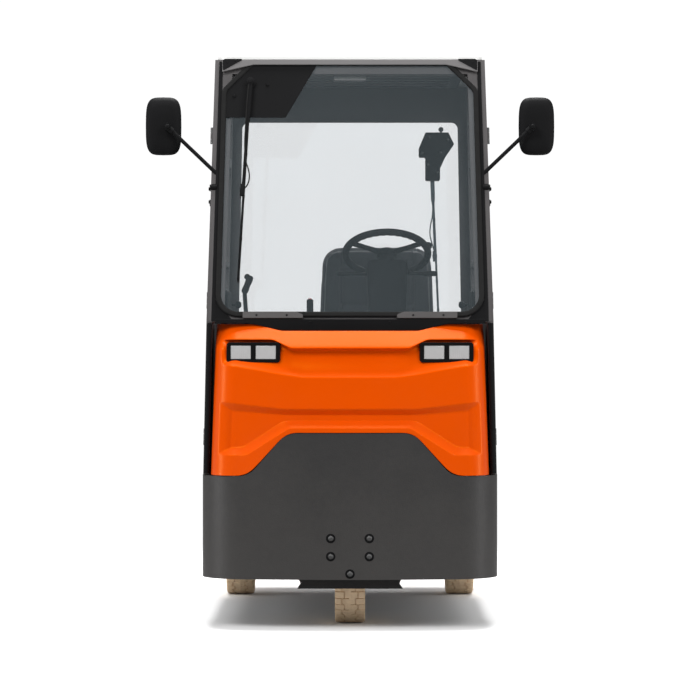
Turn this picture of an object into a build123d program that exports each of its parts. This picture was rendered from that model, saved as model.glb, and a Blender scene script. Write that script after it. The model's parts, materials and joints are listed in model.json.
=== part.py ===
from build123d import *
from math import cos, radians, sin, tan
import os

os.makedirs("parts", exist_ok=True)

# Three-wheel electric baggage tug with a closed cab.
# Millimetres, Z up, the nose towards -Y, the vehicle's left side towards +X.
# The origin lies on the floor under the middle of the whole vehicle.
# A "station" is a distance behind the bumper's face.

# ---------------------------------------------------------------- driving dimensions
# Whole vehicle
overall_length = 1880
overall_height = 1975
ground_clearance = 173
front_overhang = 330        # station of the front wheel's axle
rear_overhang = 372         # rear axle to the coupling's tip
slit = 2                    # gap between neighbouring body panels

# Wheels
tyre_diameter = 400
tyre_width = 104
tyre_shoulder = 14          # fillet of the tyre's tread edge
rim_diameter = 230
rim_width = 84
rim_wall = 10
rim_disc = 14               # thickness of the rim's web
hub_radius = 46
hub_length = 92
axle_radius = 25
shaft_play = 0.05           # radial play of every shaft in its bore
wheel_inset = 33            # tyre's outer face inside the body's side
wheel_clearance = 30        # free space round a rear wheel in its arch

# Steering
head_height = 40            # steering head under the floor
head_radius = 80
kingpin_radius = 40
head_gap = 3
fork_crown = 18
fork_leg = 16
fork_gap = 6                # between the tyre's side and the fork's leg
fork_foot_radius = 75
wheel_headroom = 9          # between the tyre and the fork's crown

# Front bumper: a bent plate, bowed in plan, with a raised middle
bumper_width = 1010
bumper_wall = 14
bumper_bow = 52             # the face's fall-back at full half width
bumper_corner_radius = 160
bumper_depth = 430
bumper_side_top = 521
bumper_crown = 146          # height of the raised middle above the sides
bumper_crown_half = 215     # half width of the raised middle at its top
bumper_foot_half = 345      # half width of the raised middle at its foot
bumper_crown_fillet = 80
hitch_hole_radius = 11
hitch_spacing_x = 130
hitch_spacing_z = 61
hitch_height = 109.5        # hitch holes' centre above the bumper's lower edge
tow_hole_height = 20
plate_station = 50          # chassis cross plate behind the hitch holes
plate_thickness = 12
cross_plate_half = 180
cross_plate_thickness = 12
cross_plate_drop = 36       # how far the cross plate hangs below the bumper
cross_plate_station = 90

# Cowl: a shell above the bumper with a lamp channel and a recessed lower panel
cowl_height = 515           # above the bumper's side
cowl_brow_half = 203        # brow's level top, before it falls away to the lamps
brow_fall_half = 268
brow_fall = 54              # crease over the lamps, below the cowl's top
belly_drop = 181            # lower crease of the lamp channel
belly_half = 163
belly_shoulder = 75         # width of the sloping shoulder beside the belly
belly_step = 11
channel_end_rise = 44       # channel's outer end above the lower crease
belt_drop = 291             # upper edge of the lower panel
belt_half = 225
belt_rise = 16
panel_side_rise = 85        # panel's outer foot above the bumper's sides
panel_crown_rise = 30       # panel's foot above the bumper's raised middle
panel_lap = 9
lamp_end_inset = 42         # channel's end inside the cowl's foot
cowl_foot_inset = 31        # inside the bumper's half width
cowl_brow_inset = 45
cowl_top_inset = 48
cowl_bow = 48
cowl_corner_radius = 90
cowl_brow_drop = 81         # brow's crease below the top edge
cowl_dip = 23               # top edge's dip in the middle
cowl_dip_half = 240
cowl_dip_foot_half = 335
cowl_brow_station = 8
cowl_top_station = 78
cowl_depth = 300
cowl_wall = 5
channel_depth = 26
panel_depth = 18

# Headlamps
lamp_inset = 146            # lamp's centre inside the cowl's foot half width
lamp_drop = 96              # lamp's centre below the cowl's top edge
lamp_width = 184
lamp_height = 68
lamp_depth = 60
lamp_corner = 10
lamp_station = 46
lamp_turn = 8.5             # degrees the lamps turn outwards with the bow
lens_width = 70
lens_height = 46
lens_thickness = 5
lens_recess = 1
lens_gap = 16               # dark bridge between the two lenses of a lamp

# Cab shell
side_lean = 1.35            # degrees the cab's sides lean inwards
side_flare = 8.5            # leaning side outside the bumper's side, carried down to the floor
side_wall = 20
floor_plate = 8
roof_thickness = 21
roof_overhang = 12
roof_inset = 8
roof_corner = 50
roof_edge = 12
rear_deck_length = 260      # cab's rear face to the tail panel
window_corner = 45
front_quarter_post = 55
rear_quarter_post = 62
rear_quarter_length = 340   # door's rear edge to the cab's rear face
windscreen_station = 100    # windscreen's plane at its foot
windscreen_lean = 12.8      # degrees from upright
scuttle_height = 19         # windscreen's foot above the cowl's top edge
scuttle_setback = 14        # scuttle's face ahead of the windscreen's foot
scuttle_thickness = 8
front_frame = 28            # depth of the frame behind the windscreen
front_frame_inset = 60      # frame's opening inside the cab's side

# Windscreen
glass_thickness = 5
screen_sill = 22            # glass above the windscreen's foot
screen_foot_inset = 64      # glass's half width inside the bumper's half width
screen_head_inset = 79
screen_head_drop = 23       # glass's top below the cab's top
screen_corner_cut = 92
screen_foot_radius = 60
screen_head_radius = 30
seal_width = 18
seal_height = 12
panel_thickness = 3
panel_height = 183          # black panel behind the windscreen's top corner
panel_foot_width = 219
panel_head_width = 325
header_height = 25
header_thickness = 6

# Rear window
rear_window_foot_inset = 76
rear_window_head_inset = 90
rear_window_drop = 138      # its top below the cab's top
rear_window_height = 766
rear_window_corner = 25

# Wipers
spindle_radius = 7
spindle_length = 30         # in front of the window's plane
front_motor_radius = 26
motor_foot = 22             # rear motor's housing below the spindle
motor_neck_half = 28
motor_neck_top = 68
motor_shoulder = 53
motor_shoulder_top = 103
motor_top = 163
motor_top_half = 60
motor_end = 82              # end of the motor's barrel
motor_end_rise = 118
motor_waist = 48
motor_corner = 6
motor_depth = 54
front_wiper_inset = 82      # spindle inside the glass's edge
front_wiper_drop = 62       # spindle below the glass's edge
front_wiper_arm = 389
rear_wiper_x = 318
rear_wiper_drop = 204       # spindle below the rear window's top edge
rear_wiper_arm = 312
wiper_hub_radius = 14
wiper_hub_height = 12
wiper_arm_half = 9
blade_half = 5
blade_lift = 10
blade_length = 601
blade_drop = 109            # blade's top below the spindle
arm_run = 25                # arm's run aside
blade_run = 37
rear_blade_length = 475
rear_blade_drop = 52
rear_arm_run = 10
rear_blade_run = 23

# Doors
front_quarter_head = 60     # front quarter window's length at its head
quarter_frame = 72          # its frame behind the windscreen's plane
door_foot_lift = 20         # door's foot above the cab floor
door_head_drop = 92         # door's head below the cab's top
door_gap = 6
door_wall = 32
door_rail = 52              # width of the door's frame beside its window
lining_length = 420
lining_depth = 22
lining_margin = 14          # to the deck's height and to the window's foot
lining_edge = 8
waist_height = 117          # door's waist above the windscreen's foot
low_window = 78             # height of the lowest pane
low_rail_height = 18
high_rail_height = 30
high_window = 132           # height of the uppermost pane
window_head_drop = 172      # window's top below the cab's top
glass_lap = 12              # glass held in the door's slot
handle_width = 36
handle_length = 130
handle_thickness = 14
handle_drop = 82            # handle below the waist
handle_corner = 10
pane_corner = 16
low_hinge_rise = 150        # lowest hinge above the door's foot
middle_hinge_drop = 52      # middle hinge below the waist
high_hinge_drop = 162       # highest hinge below the door's head
hinge_setback = 2           # hinge axis ahead of the door's edge
hinge_offset = 9            # hinge axis outside the side's face
hinge_pin_radius = 5
hinge_barrel_radius = 9
hinge_knuckle = 22
hinge_barrel = 18
hinge_leaf = 34
hinge_leaf_thickness = 4

# Chassis
frame_inset = 10            # sills' middle inside the bumper's side
frame_wall = 10
frame_lift = 10             # frame's underside above the bumper's lower edge
beam_inset = 175
deck_inset = 50
deck_height = 230           # seat deck above the cab floor
battery_gap = 18            # battery bay to the rear tyres
battery_play = 12
step_front_gap = 80         # step to the bumper's rear end
step_rear_gap = 70          # step to the battery bay
step_corner = 20
bracket_gap = 20            # bracket beside the step's opening
step_height = 150
step_lift = 97              # step above the bumper's lower edge
step_depth = 110
rear_beam_gap = 44
rear_beam_z = 260
axle_tube_radius = 48
motor_radius = 105
motor_length = 150
gearbox_rise = 240          # gearbox's top above the axle

# Rear body
deck_z = 760
body_skin = 8
hood_inset = 125
hood_thickness = 12
hood_gap = 24               # deck between the cab and the hood's opening
hood_edge = 30
hood_pin_radius = 4
hood_barrel_radius = 7.5
hood_hinge_x = 250
hood_hinge_length = 50
hood_ear = 10
hood_ear_gap = 1
hood_ear_depth = 22
hood_leaf = 34
hood_leaf_thickness = 4
hood_corner = 15
rear_corner_radius = 70
tail_lamp_inset = 105
tail_lamp_drop = 120
tail_lamp_width = 70
tail_lamp_height = 110
tail_lamp_depth = 16
tail_lamp_corner = 12
coupling_reach = 100        # coupling's tip behind the tail panel
coupling_foot = 230
coupling_pitch = 60
coupling_jaws = 4
coupling_plate = 12
coupling_half = 50
coupling_flange = 30        # mounting plate wider than the jaws
coupling_margin = 20        # mounting plate above and below the jaws
coupling_cheek = 25
pin_play = 1
pin_lead = 10               # pin's tip below the lowest jaw
pin_head = 36               # pin above the highest jaw
pin_collar = 8
ring_radius = 26
ring_bar = 6
coupling_pin_radius = 14

# Seat and driver's controls
seat_x = 103
seat_width = 472
seat_top_width = 421
seat_back_height = 432      # above the cushion
cushion_lift = 205          # cushion's top above the seat deck
cushion_thickness = 105
backrest_thickness = 90
seat_rear_gap = 80          # seat's back to the cab's rear face
seat_length = 480
buckle_gap = 19             # buckle's stalk to the cushion's side
buckle_height = 380
buckle_setback = 120        # ahead of the seat's back
stalk_width = 14
stalk_depth = 22
buckle_width = 26
buckle_depth = 46
buckle_head = 56
seat_corner = 50
seat_edge = 25
seat_shoulder = 75
base_inset = 30             # seat base inside the cushion's sides
dashboard_inset = 90
dashboard_gap = 8           # to the windscreen's frame and under the cowl's top edge
dashboard_height = 328
dashboard_face = 60         # height of its rear face
dashboard_station = 370     # its rear face
dashboard_foot_station = 190
steering_wheel_x = 132
steering_wheel_station = 700
steering_wheel_height = 820 # above the cab floor
steering_wheel_radius = 148
steering_rim_radius = 12
steering_tilt = 30          # degrees the wheel's plane leans towards the driver
column_width = 150
column_depth = 120
column_corner = 30
column_top = 60             # shroud's top below the wheel
column_foot = 430           # shroud's foot below the wheel, along the column
foot_width = 120
foot_depth = 160
foot_station = 374
foot_length = 226
foot_drop = 370             # foot box's top below the wheel
stalk_reach = 180
stalk_radius = 6
stalk_drop = 72
stalk_setback = 45          # stalks ahead of the wheel's middle
wheel_hub_radius = 38
wheel_hub_height = 26
spoke_width = 26
spoke_thickness = 10
knob_radius = 16
knob_height = 34
socket_wall = 12
column_radius = 14
column_neck = 45
pedal_brake_x = -60
pedal_drive_x = 310
pedal_station = 400
pedal_brake_width = 90
pedal_drive_width = 70
pedal_rise = 60             # pad's lower edge above the floor
pedal_length = 140
pedal_lean = 70             # pad's upper edge ahead of its lower edge
pedal_thickness = 12
pedal_stem = 16
pedal_stem_gap = 48
console_inset = 150
console_width = 150
console_length = 430
console_height = 190
lever_height = 460
lever_offset = 30           # lever inboard of the console's middle
lever_station = 200         # behind the battery bay's front
lever_width = 22
lever_lean = 4
lever_grip_lean = 22          # degrees
lever_head_width = 14
lever_head_length = 46

# Mirrors
mirror_reach = 138.5        # mirror's middle outside the bumper's half width
mirror_drop = 235           # mirror's middle below the cab's top
mirror_width = 123
mirror_height = 200
mirror_depth = 42
mirror_corner = 28
mirror_station = 185        # arm's end
mirror_arm_radius = 7
mirror_clamp = 30
clamp_wall = 4
arm_inset = 16.5            # arm's end inboard of the mirror's middle
arm_drop = 5
mirror_edge = 12
bracket_width = 26
bracket_setback = 18        # bracket behind the windscreen's plane
arm_rise = 66               # arm's bend above the bracket's middle
arm_tail = 22               # arm's foot below it
bracket_drop = 475          # bracket below the cab's top
bracket_height = 80
bracket_reach = 8

# ---------------------------------------------------------------- derived places
nose = -overall_length / 2
tail = overall_length / 2
rear_body_y = tail - coupling_reach
cab_back_y = rear_body_y - rear_deck_length
door_rear_y = cab_back_y - rear_quarter_length
front_axle_y = nose + front_overhang
rear_axle_y = tail - rear_overhang
wheel_z = tyre_diameter / 2
battery_rear_y = rear_axle_y - tyre_diameter / 2 - battery_gap
seat_rear_y = cab_back_y - seat_rear_gap
battery_front_y = seat_rear_y - seat_length - seat_rear_gap
bumper_back_y = nose + bumper_depth

crown_z = tyre_diameter + wheel_headroom
floor_z = crown_z + fork_crown + head_gap + head_height
deck_top_z = floor_z + deck_height
cushion_top_z = deck_top_z + cushion_lift
seat_top_z = cushion_top_z + seat_back_height
steering_wheel_z = floor_z + steering_wheel_height
bumper_crown_top = bumper_side_top + bumper_crown
frame_foot_z = ground_clearance + frame_lift
cowl_top_z = bumper_side_top + cowl_height
cowl_brow_z = cowl_top_z - cowl_brow_drop
screen_foot_plane_z = cowl_top_z + scuttle_height
cab_top_z = overall_height - roof_thickness
screen_foot_z = screen_foot_plane_z + screen_sill
screen_head_z = cab_top_z - screen_head_drop
rear_window_top_z = cab_top_z - rear_window_drop
door_foot_z = floor_z + door_foot_lift
door_top_z = cab_top_z - door_head_drop
waist_z = screen_foot_plane_z + waist_height
window_top_z = cab_top_z - window_head_drop
hinge_heights = (
    door_foot_z + low_hinge_rise,
    waist_z - middle_hinge_drop,
    door_top_z - high_hinge_drop,
)
coupling_jaw_z = [coupling_foot + i * coupling_pitch for i in range(coupling_jaws)]
coupling_pin_y = tail - coupling_half

bumper_half = bumper_width / 2
rear_track = bumper_width - tyre_width - 2 * wheel_inset
side_foot_half = bumper_half + side_flare
cowl_foot_half = bumper_half - cowl_foot_inset
screen_foot_half = bumper_half - screen_foot_inset
screen_head_half = bumper_half - screen_head_inset
frame_half = bumper_half - frame_inset
beam_x = bumper_half - beam_inset
deck_half = bumper_half - deck_inset
rear_beam_x = rear_track / 2 - hub_length / 2 - rear_beam_gap
hood_half = bumper_half - hood_inset
lamp_x = cowl_foot_half - lamp_inset

side_plane = Plane(
    origin=(side_foot_half, 0, 0),
    x_dir=(0, 1, 0),
    z_dir=(cos(radians(side_lean)), 0, sin(radians(side_lean))),
)
screen_plane = Plane(
    origin=(0, nose + windscreen_station, screen_foot_plane_z),
    x_dir=(1, 0, 0),
    z_dir=(0, -cos(radians(windscreen_lean)), sin(radians(windscreen_lean))),
)
rear_glass_plane = Plane(
    origin=(0, cab_back_y - side_wall / 2, 0), x_dir=(-1, 0, 0), z_dir=(0, 1, 0)
)
wheel_plane = Plane(
    origin=(steering_wheel_x, nose + steering_wheel_station, steering_wheel_z),
    x_dir=(1, 0, 0),
    z_dir=(0, sin(radians(steering_tilt)), cos(radians(steering_tilt))),
)


def side_half(z):
    """Half width of the cab's leaning side at a height."""
    return side_foot_half - z * tan(radians(side_lean))


def screen_v(z):
    """Distance along the windscreen's slope from its foot to a height."""
    return (z - screen_foot_plane_z) / cos(radians(windscreen_lean))


def screen_y(z):
    """Place of the windscreen's plane along the vehicle at a height."""
    return nose + windscreen_station + (z - screen_foot_plane_z) * tan(radians(windscreen_lean))


door_front_y = screen_y(door_top_z) + quarter_frame + front_quarter_head + front_quarter_post
door_middle_y = (door_front_y + door_rear_y) / 2
door_length = door_rear_y - door_front_y
hinge_y = door_front_y - hinge_setback
step_length = battery_front_y - bumper_back_y - step_front_gap - step_rear_gap
step_y = battery_front_y - step_rear_gap - step_length / 2
step_z = ground_clearance + step_lift
buckle_x = seat_x - seat_width / 2 - buckle_gap


def hinge_plane(z):
    """Plane square to the left door's hinge axis at a height along the leaning side."""
    return Plane(
        origin=side_plane.from_local_coords((hinge_y, z, hinge_offset)),
        x_dir=side_plane.z_dir,
        z_dir=side_plane.y_dir,
    )


def save(piece, name):
    """Label a finished piece and write its STEP file."""
    piece.part.label = name
    export_step(piece.part, f"parts/{name}.step")


def save_mirrored(piece, name):
    """Write the right-hand twin of a left-hand piece."""
    with BuildPart() as twin:
        mirror(piece.part, about=Plane.YZ)
    save(twin, name)


def nose_plan(half_width, station, bow, corner_radius, depth):
    """Plan outline of a nose panel: bowed face, rounded corners, straight sides."""
    face_y = nose + station
    with BuildSketch() as plan:
        with BuildLine():
            ThreePointArc((-half_width, face_y + bow), (0, face_y), (half_width, face_y + bow))
            Polyline(
                (half_width, face_y + bow),
                (half_width, nose + depth),
                (-half_width, nose + depth),
                (-half_width, face_y + bow),
            )
        make_face()
        fillet(plan.vertices().group_by(Axis.Y)[0], corner_radius)
    return plan.sketch


def outline_face(points, radius=0):
    """Face from an outline's points, its corners rounded."""
    with BuildSketch() as face:
        with BuildLine():
            Polyline(*points, close=True)
        make_face()
        if radius:
            fillet(face.vertices(), radius)
    return face.sketch


def symmetric_face(right_half, radius=0):
    """Face from the right half of a front view (x, z), closed by its mirror image."""
    return outline_face([*right_half, *[(-x, z) for x, z in reversed(right_half) if x > 0]], radius)


def bumper_view(rise):
    """Front view of the bumper up to its top edge, the edge lifted by a gap."""
    shoulder = bumper_side_top + rise
    with BuildSketch() as view:
        add(
            symmetric_face(
                (
                    (0, bumper_crown_top + rise),
                    (bumper_crown_half, bumper_crown_top + rise),
                    (bumper_foot_half, shoulder),
                    (bumper_half + rise, shoulder),
                    (bumper_half + rise, 0),
                    (0, 0),
                )
            )
        )
        fillet(
            view.vertices().filter_by(lambda v: 0 < abs(v.X) < bumper_half and v.Y > shoulder - slit),
            bumper_crown_fillet,
        )
    return view.sketch


front_view = Plane.XZ.offset(-nose + cowl_bow)       # upright plane ahead of the nose
to_back_up = (Align.CENTER, Align.MIN, Align.MIN)    # grows backwards and upwards from its place
to_back_down = (Align.CENTER, Align.MIN, Align.MAX)
to_front_up = (Align.CENTER, Align.MAX, Align.MIN)
upwards = (Align.CENTER, Align.CENTER, Align.MIN)
downwards = (Align.CENTER, Align.CENTER, Align.MAX)

# ---------------------------------------------------------------- front bumper
with BuildPart() as front_bumper:
    with BuildSketch(Plane.XY.offset(ground_clearance)):
        add(nose_plan(bumper_half, 0, bumper_bow, bumper_corner_radius, bumper_depth))
        add(
            nose_plan(
                bumper_half - bumper_wall,
                bumper_wall,
                bumper_bow,
                bumper_corner_radius - bumper_wall,
                bumper_depth + bumper_wall,
            ),
            mode=Mode.SUBTRACT,
        )
    extrude(amount=bumper_crown_top - ground_clearance)
    with BuildSketch(front_view):
        add(bumper_view(0))
    extrude(amount=-bumper_depth - cowl_bow, mode=Mode.INTERSECT)
    with BuildSketch(front_view):
        with Locations((0, ground_clearance + hitch_height)):
            with GridLocations(hitch_spacing_x, hitch_spacing_z, 2, 2):
                Circle(hitch_hole_radius)
        with Locations((0, ground_clearance + tow_hole_height)):
            Circle(hitch_hole_radius)
    extrude(amount=-bumper_depth / 2, mode=Mode.SUBTRACT)
save(front_bumper, "front_bumper")

with BuildPart() as cross_plate:
    with BuildSketch(Plane.XZ.offset(-nose - cross_plate_station)):
        add(
            symmetric_face(
                (
                    (0, frame_foot_z - slit),
                    (cross_plate_half, frame_foot_z - slit),
                    (cross_plate_half - cross_plate_drop / 3, ground_clearance - cross_plate_drop / 2),
                    (cross_plate_half, ground_clearance - cross_plate_drop),
                    (0, ground_clearance - cross_plate_drop),
                )
            )
        )
    extrude(amount=cross_plate_thickness)
save(cross_plate, "bumper_cross_plate")

# ---------------------------------------------------------------- cowl
lamp_planes = [
    Plane(
        origin=(side * lamp_x, nose + lamp_station, cowl_top_z - lamp_drop),
        x_dir=(cos(radians(lamp_turn)), side * sin(radians(lamp_turn)), 0),
        z_dir=(side * sin(radians(lamp_turn)), -cos(radians(lamp_turn)), 0),
    )
    for side in (-1, 1)
]
# The cowl's outer form leans back a little to the brow's crease and strongly above it.
cowl_sections = (
    # height, half width, station
    (bumper_side_top + slit, bumper_half - cowl_foot_inset, 0),
    (cowl_brow_z, bumper_half - cowl_brow_inset, cowl_brow_station),
    (cowl_top_z, bumper_half - cowl_top_inset, cowl_top_station),
)


def cowl_form(inset, sink):
    """The cowl's outer form moved inwards and down, as a solid."""
    with BuildPart() as form:
        for sections in zip(cowl_sections, cowl_sections[1:]):
            for height, half, station in sections:
                with BuildSketch(Plane.XY.offset(height - sink)):
                    add(
                        nose_plan(
                            half - inset,
                            station + inset,
                            cowl_bow,
                            cowl_corner_radius - inset,
                            cowl_depth,
                        )
                    )
            loft()
    return form.part


brow_fall_z = cowl_top_z - brow_fall
belly_z = cowl_top_z - belly_drop
belt_z = cowl_top_z - belt_drop
lamp_end = cowl_foot_half - lamp_end_inset
panel_end = lamp_end - slit
cowl_pockets = (
    # depth, outline's right half (x, z) from its top middle round to its foot
    (
        channel_depth,
        (
            (0, cowl_brow_z),
            (cowl_brow_half, cowl_brow_z),
            (brow_fall_half, brow_fall_z),
            (lamp_end, brow_fall_z),
            (lamp_end, belly_z + channel_end_rise),
            (belly_half + belly_shoulder, belly_z + belly_step),
            (belly_half, belly_z),
            (0, belly_z),
        ),
    ),
    (
        panel_depth,
        (
            (0, belt_z),
            (belt_half, belt_z),
            (panel_end, belt_z + belt_rise),
            (panel_end, bumper_side_top + panel_side_rise),
            (bumper_foot_half + panel_lap, bumper_side_top + panel_side_rise),
            (bumper_crown_half + slit, bumper_crown_top + panel_crown_rise),
            (0, bumper_crown_top + panel_crown_rise),
        ),
    ),
)


def cowl_pocket(outline, floor_form):
    """Block behind an outline of the front view, down to a form sunk into the cowl."""
    with BuildPart() as pocket:
        with BuildSketch(front_view):
            add(symmetric_face(outline))
        extrude(amount=-cowl_depth)
        add(floor_form, mode=Mode.SUBTRACT)
    return pocket.part


pockets = [cowl_pocket(outline, cowl_form(depth, 0)) for depth, outline in cowl_pockets]
cowl_core = cowl_form(channel_depth + cowl_wall, cowl_wall)
# Behind its upper skin the cowl is open, which leaves room for the windscreen's foot.
with BuildPart() as cowl_deck:
    add(cowl_form(cowl_wall, -slit))
    with Locations((0, nose, cowl_top_z)):
        Box(
            2 * bumper_half,
            cowl_depth + cowl_bow,
            3 * cowl_brow_drop / 2,
            align=(Align.CENTER, Align.MIN, Align.CENTER),
            mode=Mode.INTERSECT,
        )
cowl_block = cowl_form(0, 0)
with BuildPart() as front_cowl:
    add(cowl_block)
    for pocket in pockets:
        add(pocket, mode=Mode.SUBTRACT)
    add(cowl_core, mode=Mode.SUBTRACT)
    # The top edge dips in the middle, and the foot follows the bumper's top edge.
    with BuildSketch(front_view):
        add(
            symmetric_face(
                (
                    (0, cowl_top_z - cowl_dip),
                    (cowl_dip_half, cowl_top_z - cowl_dip),
                    (cowl_dip_foot_half, cowl_top_z),
                    (cowl_dip_foot_half, cowl_top_z + slit),
                    (0, cowl_top_z + slit),
                )
            )
        )
        add(bumper_view(slit))
    extrude(amount=-cowl_depth - cowl_bow, mode=Mode.SUBTRACT)
    add(cowl_deck.part, mode=Mode.SUBTRACT)
    for plane in lamp_planes:
        with BuildSketch(plane):
            RectangleRounded(lamp_width + slit, lamp_height + slit, lamp_corner + slit / 2)
        extrude(amount=2 * lamp_depth, both=True, mode=Mode.SUBTRACT)
save(front_cowl, "front_cowl")

# ---------------------------------------------------------------- headlamps
with BuildPart() as lamp_housings:
    for plane in lamp_planes:
        with BuildSketch(plane):
            RectangleRounded(lamp_width, lamp_height, lamp_corner)
        extrude(amount=-lamp_depth)
        with BuildSketch(plane):
            with GridLocations(lens_width + lens_gap, 1, 2, 1):
                Rectangle(lens_width, lens_height)
        extrude(amount=-lens_thickness - lens_recess, mode=Mode.SUBTRACT)
save(lamp_housings, "headlamp_housings")

with BuildPart() as lamp_lenses:
    for plane in lamp_planes:
        with BuildSketch(plane.offset(-lens_thickness - lens_recess)):
            with GridLocations(lens_width + lens_gap, 1, 2, 1):
                Rectangle(lens_width, lens_height)
        extrude(amount=lens_thickness)
save(lamp_lenses, "headlamp_lenses")

# ---------------------------------------------------------------- cab frame
# One leaning side wall with its window and door openings, mirrored, joined by the
# windscreen's frame and by the rear wall.
door_outline = (
    # y, z
    (door_front_y, door_foot_z),
    (door_rear_y, door_foot_z),
    (door_rear_y, door_top_z),
    (door_front_y, door_top_z),
)
front_quarter = (
    (screen_y(screen_foot_z) + quarter_frame, screen_foot_z),
    (door_front_y - front_quarter_post, screen_foot_z),
    (door_front_y - front_quarter_post, door_top_z),
    (screen_y(door_top_z) + quarter_frame, door_top_z),
)
rear_quarter = (
    (door_rear_y + rear_quarter_post, waist_z),
    (cab_back_y - rear_quarter_post, waist_z),
    (cab_back_y - rear_quarter_post, door_top_z),
    (door_rear_y + rear_quarter_post, door_top_z),
)
with BuildSketch() as rear_window_outline:
    add(
        symmetric_face(
            (
                (0, rear_window_top_z),
                (bumper_half - rear_window_head_inset, rear_window_top_z),
                (bumper_half - rear_window_foot_inset, rear_window_top_z - rear_window_height),
                (0, rear_window_top_z - rear_window_height),
            )
        )
    )
    fillet(rear_window_outline.vertices().filter_by(lambda v: v.X != 0), rear_window_corner)

frame_foot_half = side_half(screen_foot_plane_z)
# The leaning frame's rear lower edge stays clear of the cowl's top.
frame_foot_v = screen_v(cowl_top_z) + front_frame * sin(radians(windscreen_lean)) + slit
cab_foot_z = floor_z + slit / 2
with BuildPart() as cab_frame:
    with BuildSketch(side_plane):
        add(
            outline_face(
                (
                    (nose + windscreen_station + front_frame, cab_foot_z),
                    (nose + windscreen_station, screen_foot_plane_z),
                    (screen_y(cab_top_z), cab_top_z),
                    (cab_back_y, cab_top_z),
                    (cab_back_y, cab_foot_z),
                )
            )
        )
        add(
            offset(outline_face(door_outline, window_corner), door_gap, mode=Mode.PRIVATE),
            mode=Mode.SUBTRACT,
        )
        add(outline_face(front_quarter, window_corner / 2), mode=Mode.SUBTRACT)
        add(outline_face(rear_quarter, window_corner), mode=Mode.SUBTRACT)
    extrude(amount=-side_wall)
    # The bumper's side covers the wall's lowest front corner.
    with Locations((bumper_half, nose, floor_z)):
        Box(
            bumper_half / 2,
            bumper_depth + slit,
            2 * (bumper_side_top + slit - floor_z),
            align=(Align.CENTER, Align.MIN, Align.CENTER),
            mode=Mode.SUBTRACT,
        )
    mirror(about=Plane.YZ)
    # Windscreen frame between the side walls.
    with BuildSketch(screen_plane):
        add(
            symmetric_face(
                (
                    (0, screen_v(cab_top_z)),
                    (side_half(cab_top_z) - side_wall / 2, screen_v(cab_top_z)),
                    (frame_foot_half - side_wall / 2, frame_foot_v),
                    (0, frame_foot_v),
                )
            )
        )
        add(
            symmetric_face(
                (
                    (0, screen_v(screen_head_z - front_frame)),
                    (side_half(cab_top_z) - front_frame_inset, screen_v(screen_head_z - front_frame)),
                    (frame_foot_half - front_frame_inset, screen_v(screen_foot_z)),
                    (0, screen_v(screen_foot_z)),
                )
            ),
            mode=Mode.SUBTRACT,
        )
    extrude(amount=-front_frame)
    # Rear wall with the rear window.
    with BuildSketch(Plane.XZ.offset(-cab_back_y)):
        add(
            symmetric_face(
                (
                    (0, cab_top_z),
                    (side_half(cab_top_z) - side_wall / 2, cab_top_z),
                    (side_half(cab_foot_z) - side_wall / 2, cab_foot_z),
                    (0, cab_foot_z),
                )
            )
        )
        add(rear_window_outline.sketch, mode=Mode.SUBTRACT)
    extrude(amount=side_wall)
save(cab_frame, "cab_frame")

# ---------------------------------------------------------------- windscreen and roof
with BuildSketch() as screen_outline:
    add(
        symmetric_face(
            (
                (0, screen_v(screen_head_z)),
                (screen_head_half - screen_corner_cut, screen_v(screen_head_z)),
                (screen_head_half, screen_v(screen_head_z - screen_corner_cut)),
                (screen_foot_half, screen_v(screen_foot_z)),
                (0, screen_v(screen_foot_z)),
            )
        )
    )
    fillet(screen_outline.vertices().filter_by(lambda v: v.Y > screen_v(waist_z)), screen_head_radius)
    fillet(
        screen_outline.vertices().filter_by(lambda v: v.Y < screen_v(screen_foot_z) + 1 and v.X != 0),
        screen_foot_radius,
    )

with BuildPart() as windscreen_seal:
    with BuildSketch(screen_plane):
        add(offset(screen_outline.sketch, amount=seal_width, mode=Mode.PRIVATE))
        add(screen_outline.sketch, mode=Mode.SUBTRACT)
    extrude(amount=seal_height)
save(windscreen_seal, "windscreen_seal")

wiper_pivot = (front_wiper_inset - screen_head_half, screen_v(screen_head_z - front_wiper_drop))
with BuildPart() as windscreen_glass:
    with BuildSketch(screen_plane.offset(panel_thickness)):
        add(screen_outline.sketch)
        with Locations(wiper_pivot):
            Circle(spindle_radius + slit / 2, mode=Mode.SUBTRACT)
    extrude(amount=glass_thickness)
save(windscreen_glass, "windscreen_glass")

with BuildPart() as wiper_panel:
    with BuildSketch(screen_plane):
        add(
            outline_face(
                (
                    (-screen_foot_half, screen_v(screen_head_z - panel_height)),
                    (panel_foot_width - screen_foot_half, screen_v(screen_head_z - panel_height)),
                    (panel_head_width - screen_foot_half, screen_v(screen_head_z)),
                    (-screen_foot_half, screen_v(screen_head_z)),
                )
            )
        )
        add(screen_outline.sketch, mode=Mode.INTERSECT)
        with Locations(wiper_pivot):
            Circle(spindle_radius + slit / 2, mode=Mode.SUBTRACT)
    extrude(amount=panel_thickness)
save(wiper_panel, "wiper_panel")

header_half = screen_head_half + seal_width - slit
with BuildPart() as header_panel:
    with BuildSketch(screen_plane.offset(seal_height)):
        add(
            symmetric_face(
                (
                    (0, screen_v(screen_head_z + seal_width)),
                    (header_half, screen_v(screen_head_z + seal_width)),
                    (header_half, screen_v(screen_head_z - header_height)),
                    (screen_head_half - screen_corner_cut, screen_v(screen_head_z)),
                    (0, screen_v(screen_head_z)),
                )
            )
        )
    extrude(amount=header_thickness)
save(header_panel, "header_panel")

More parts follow.
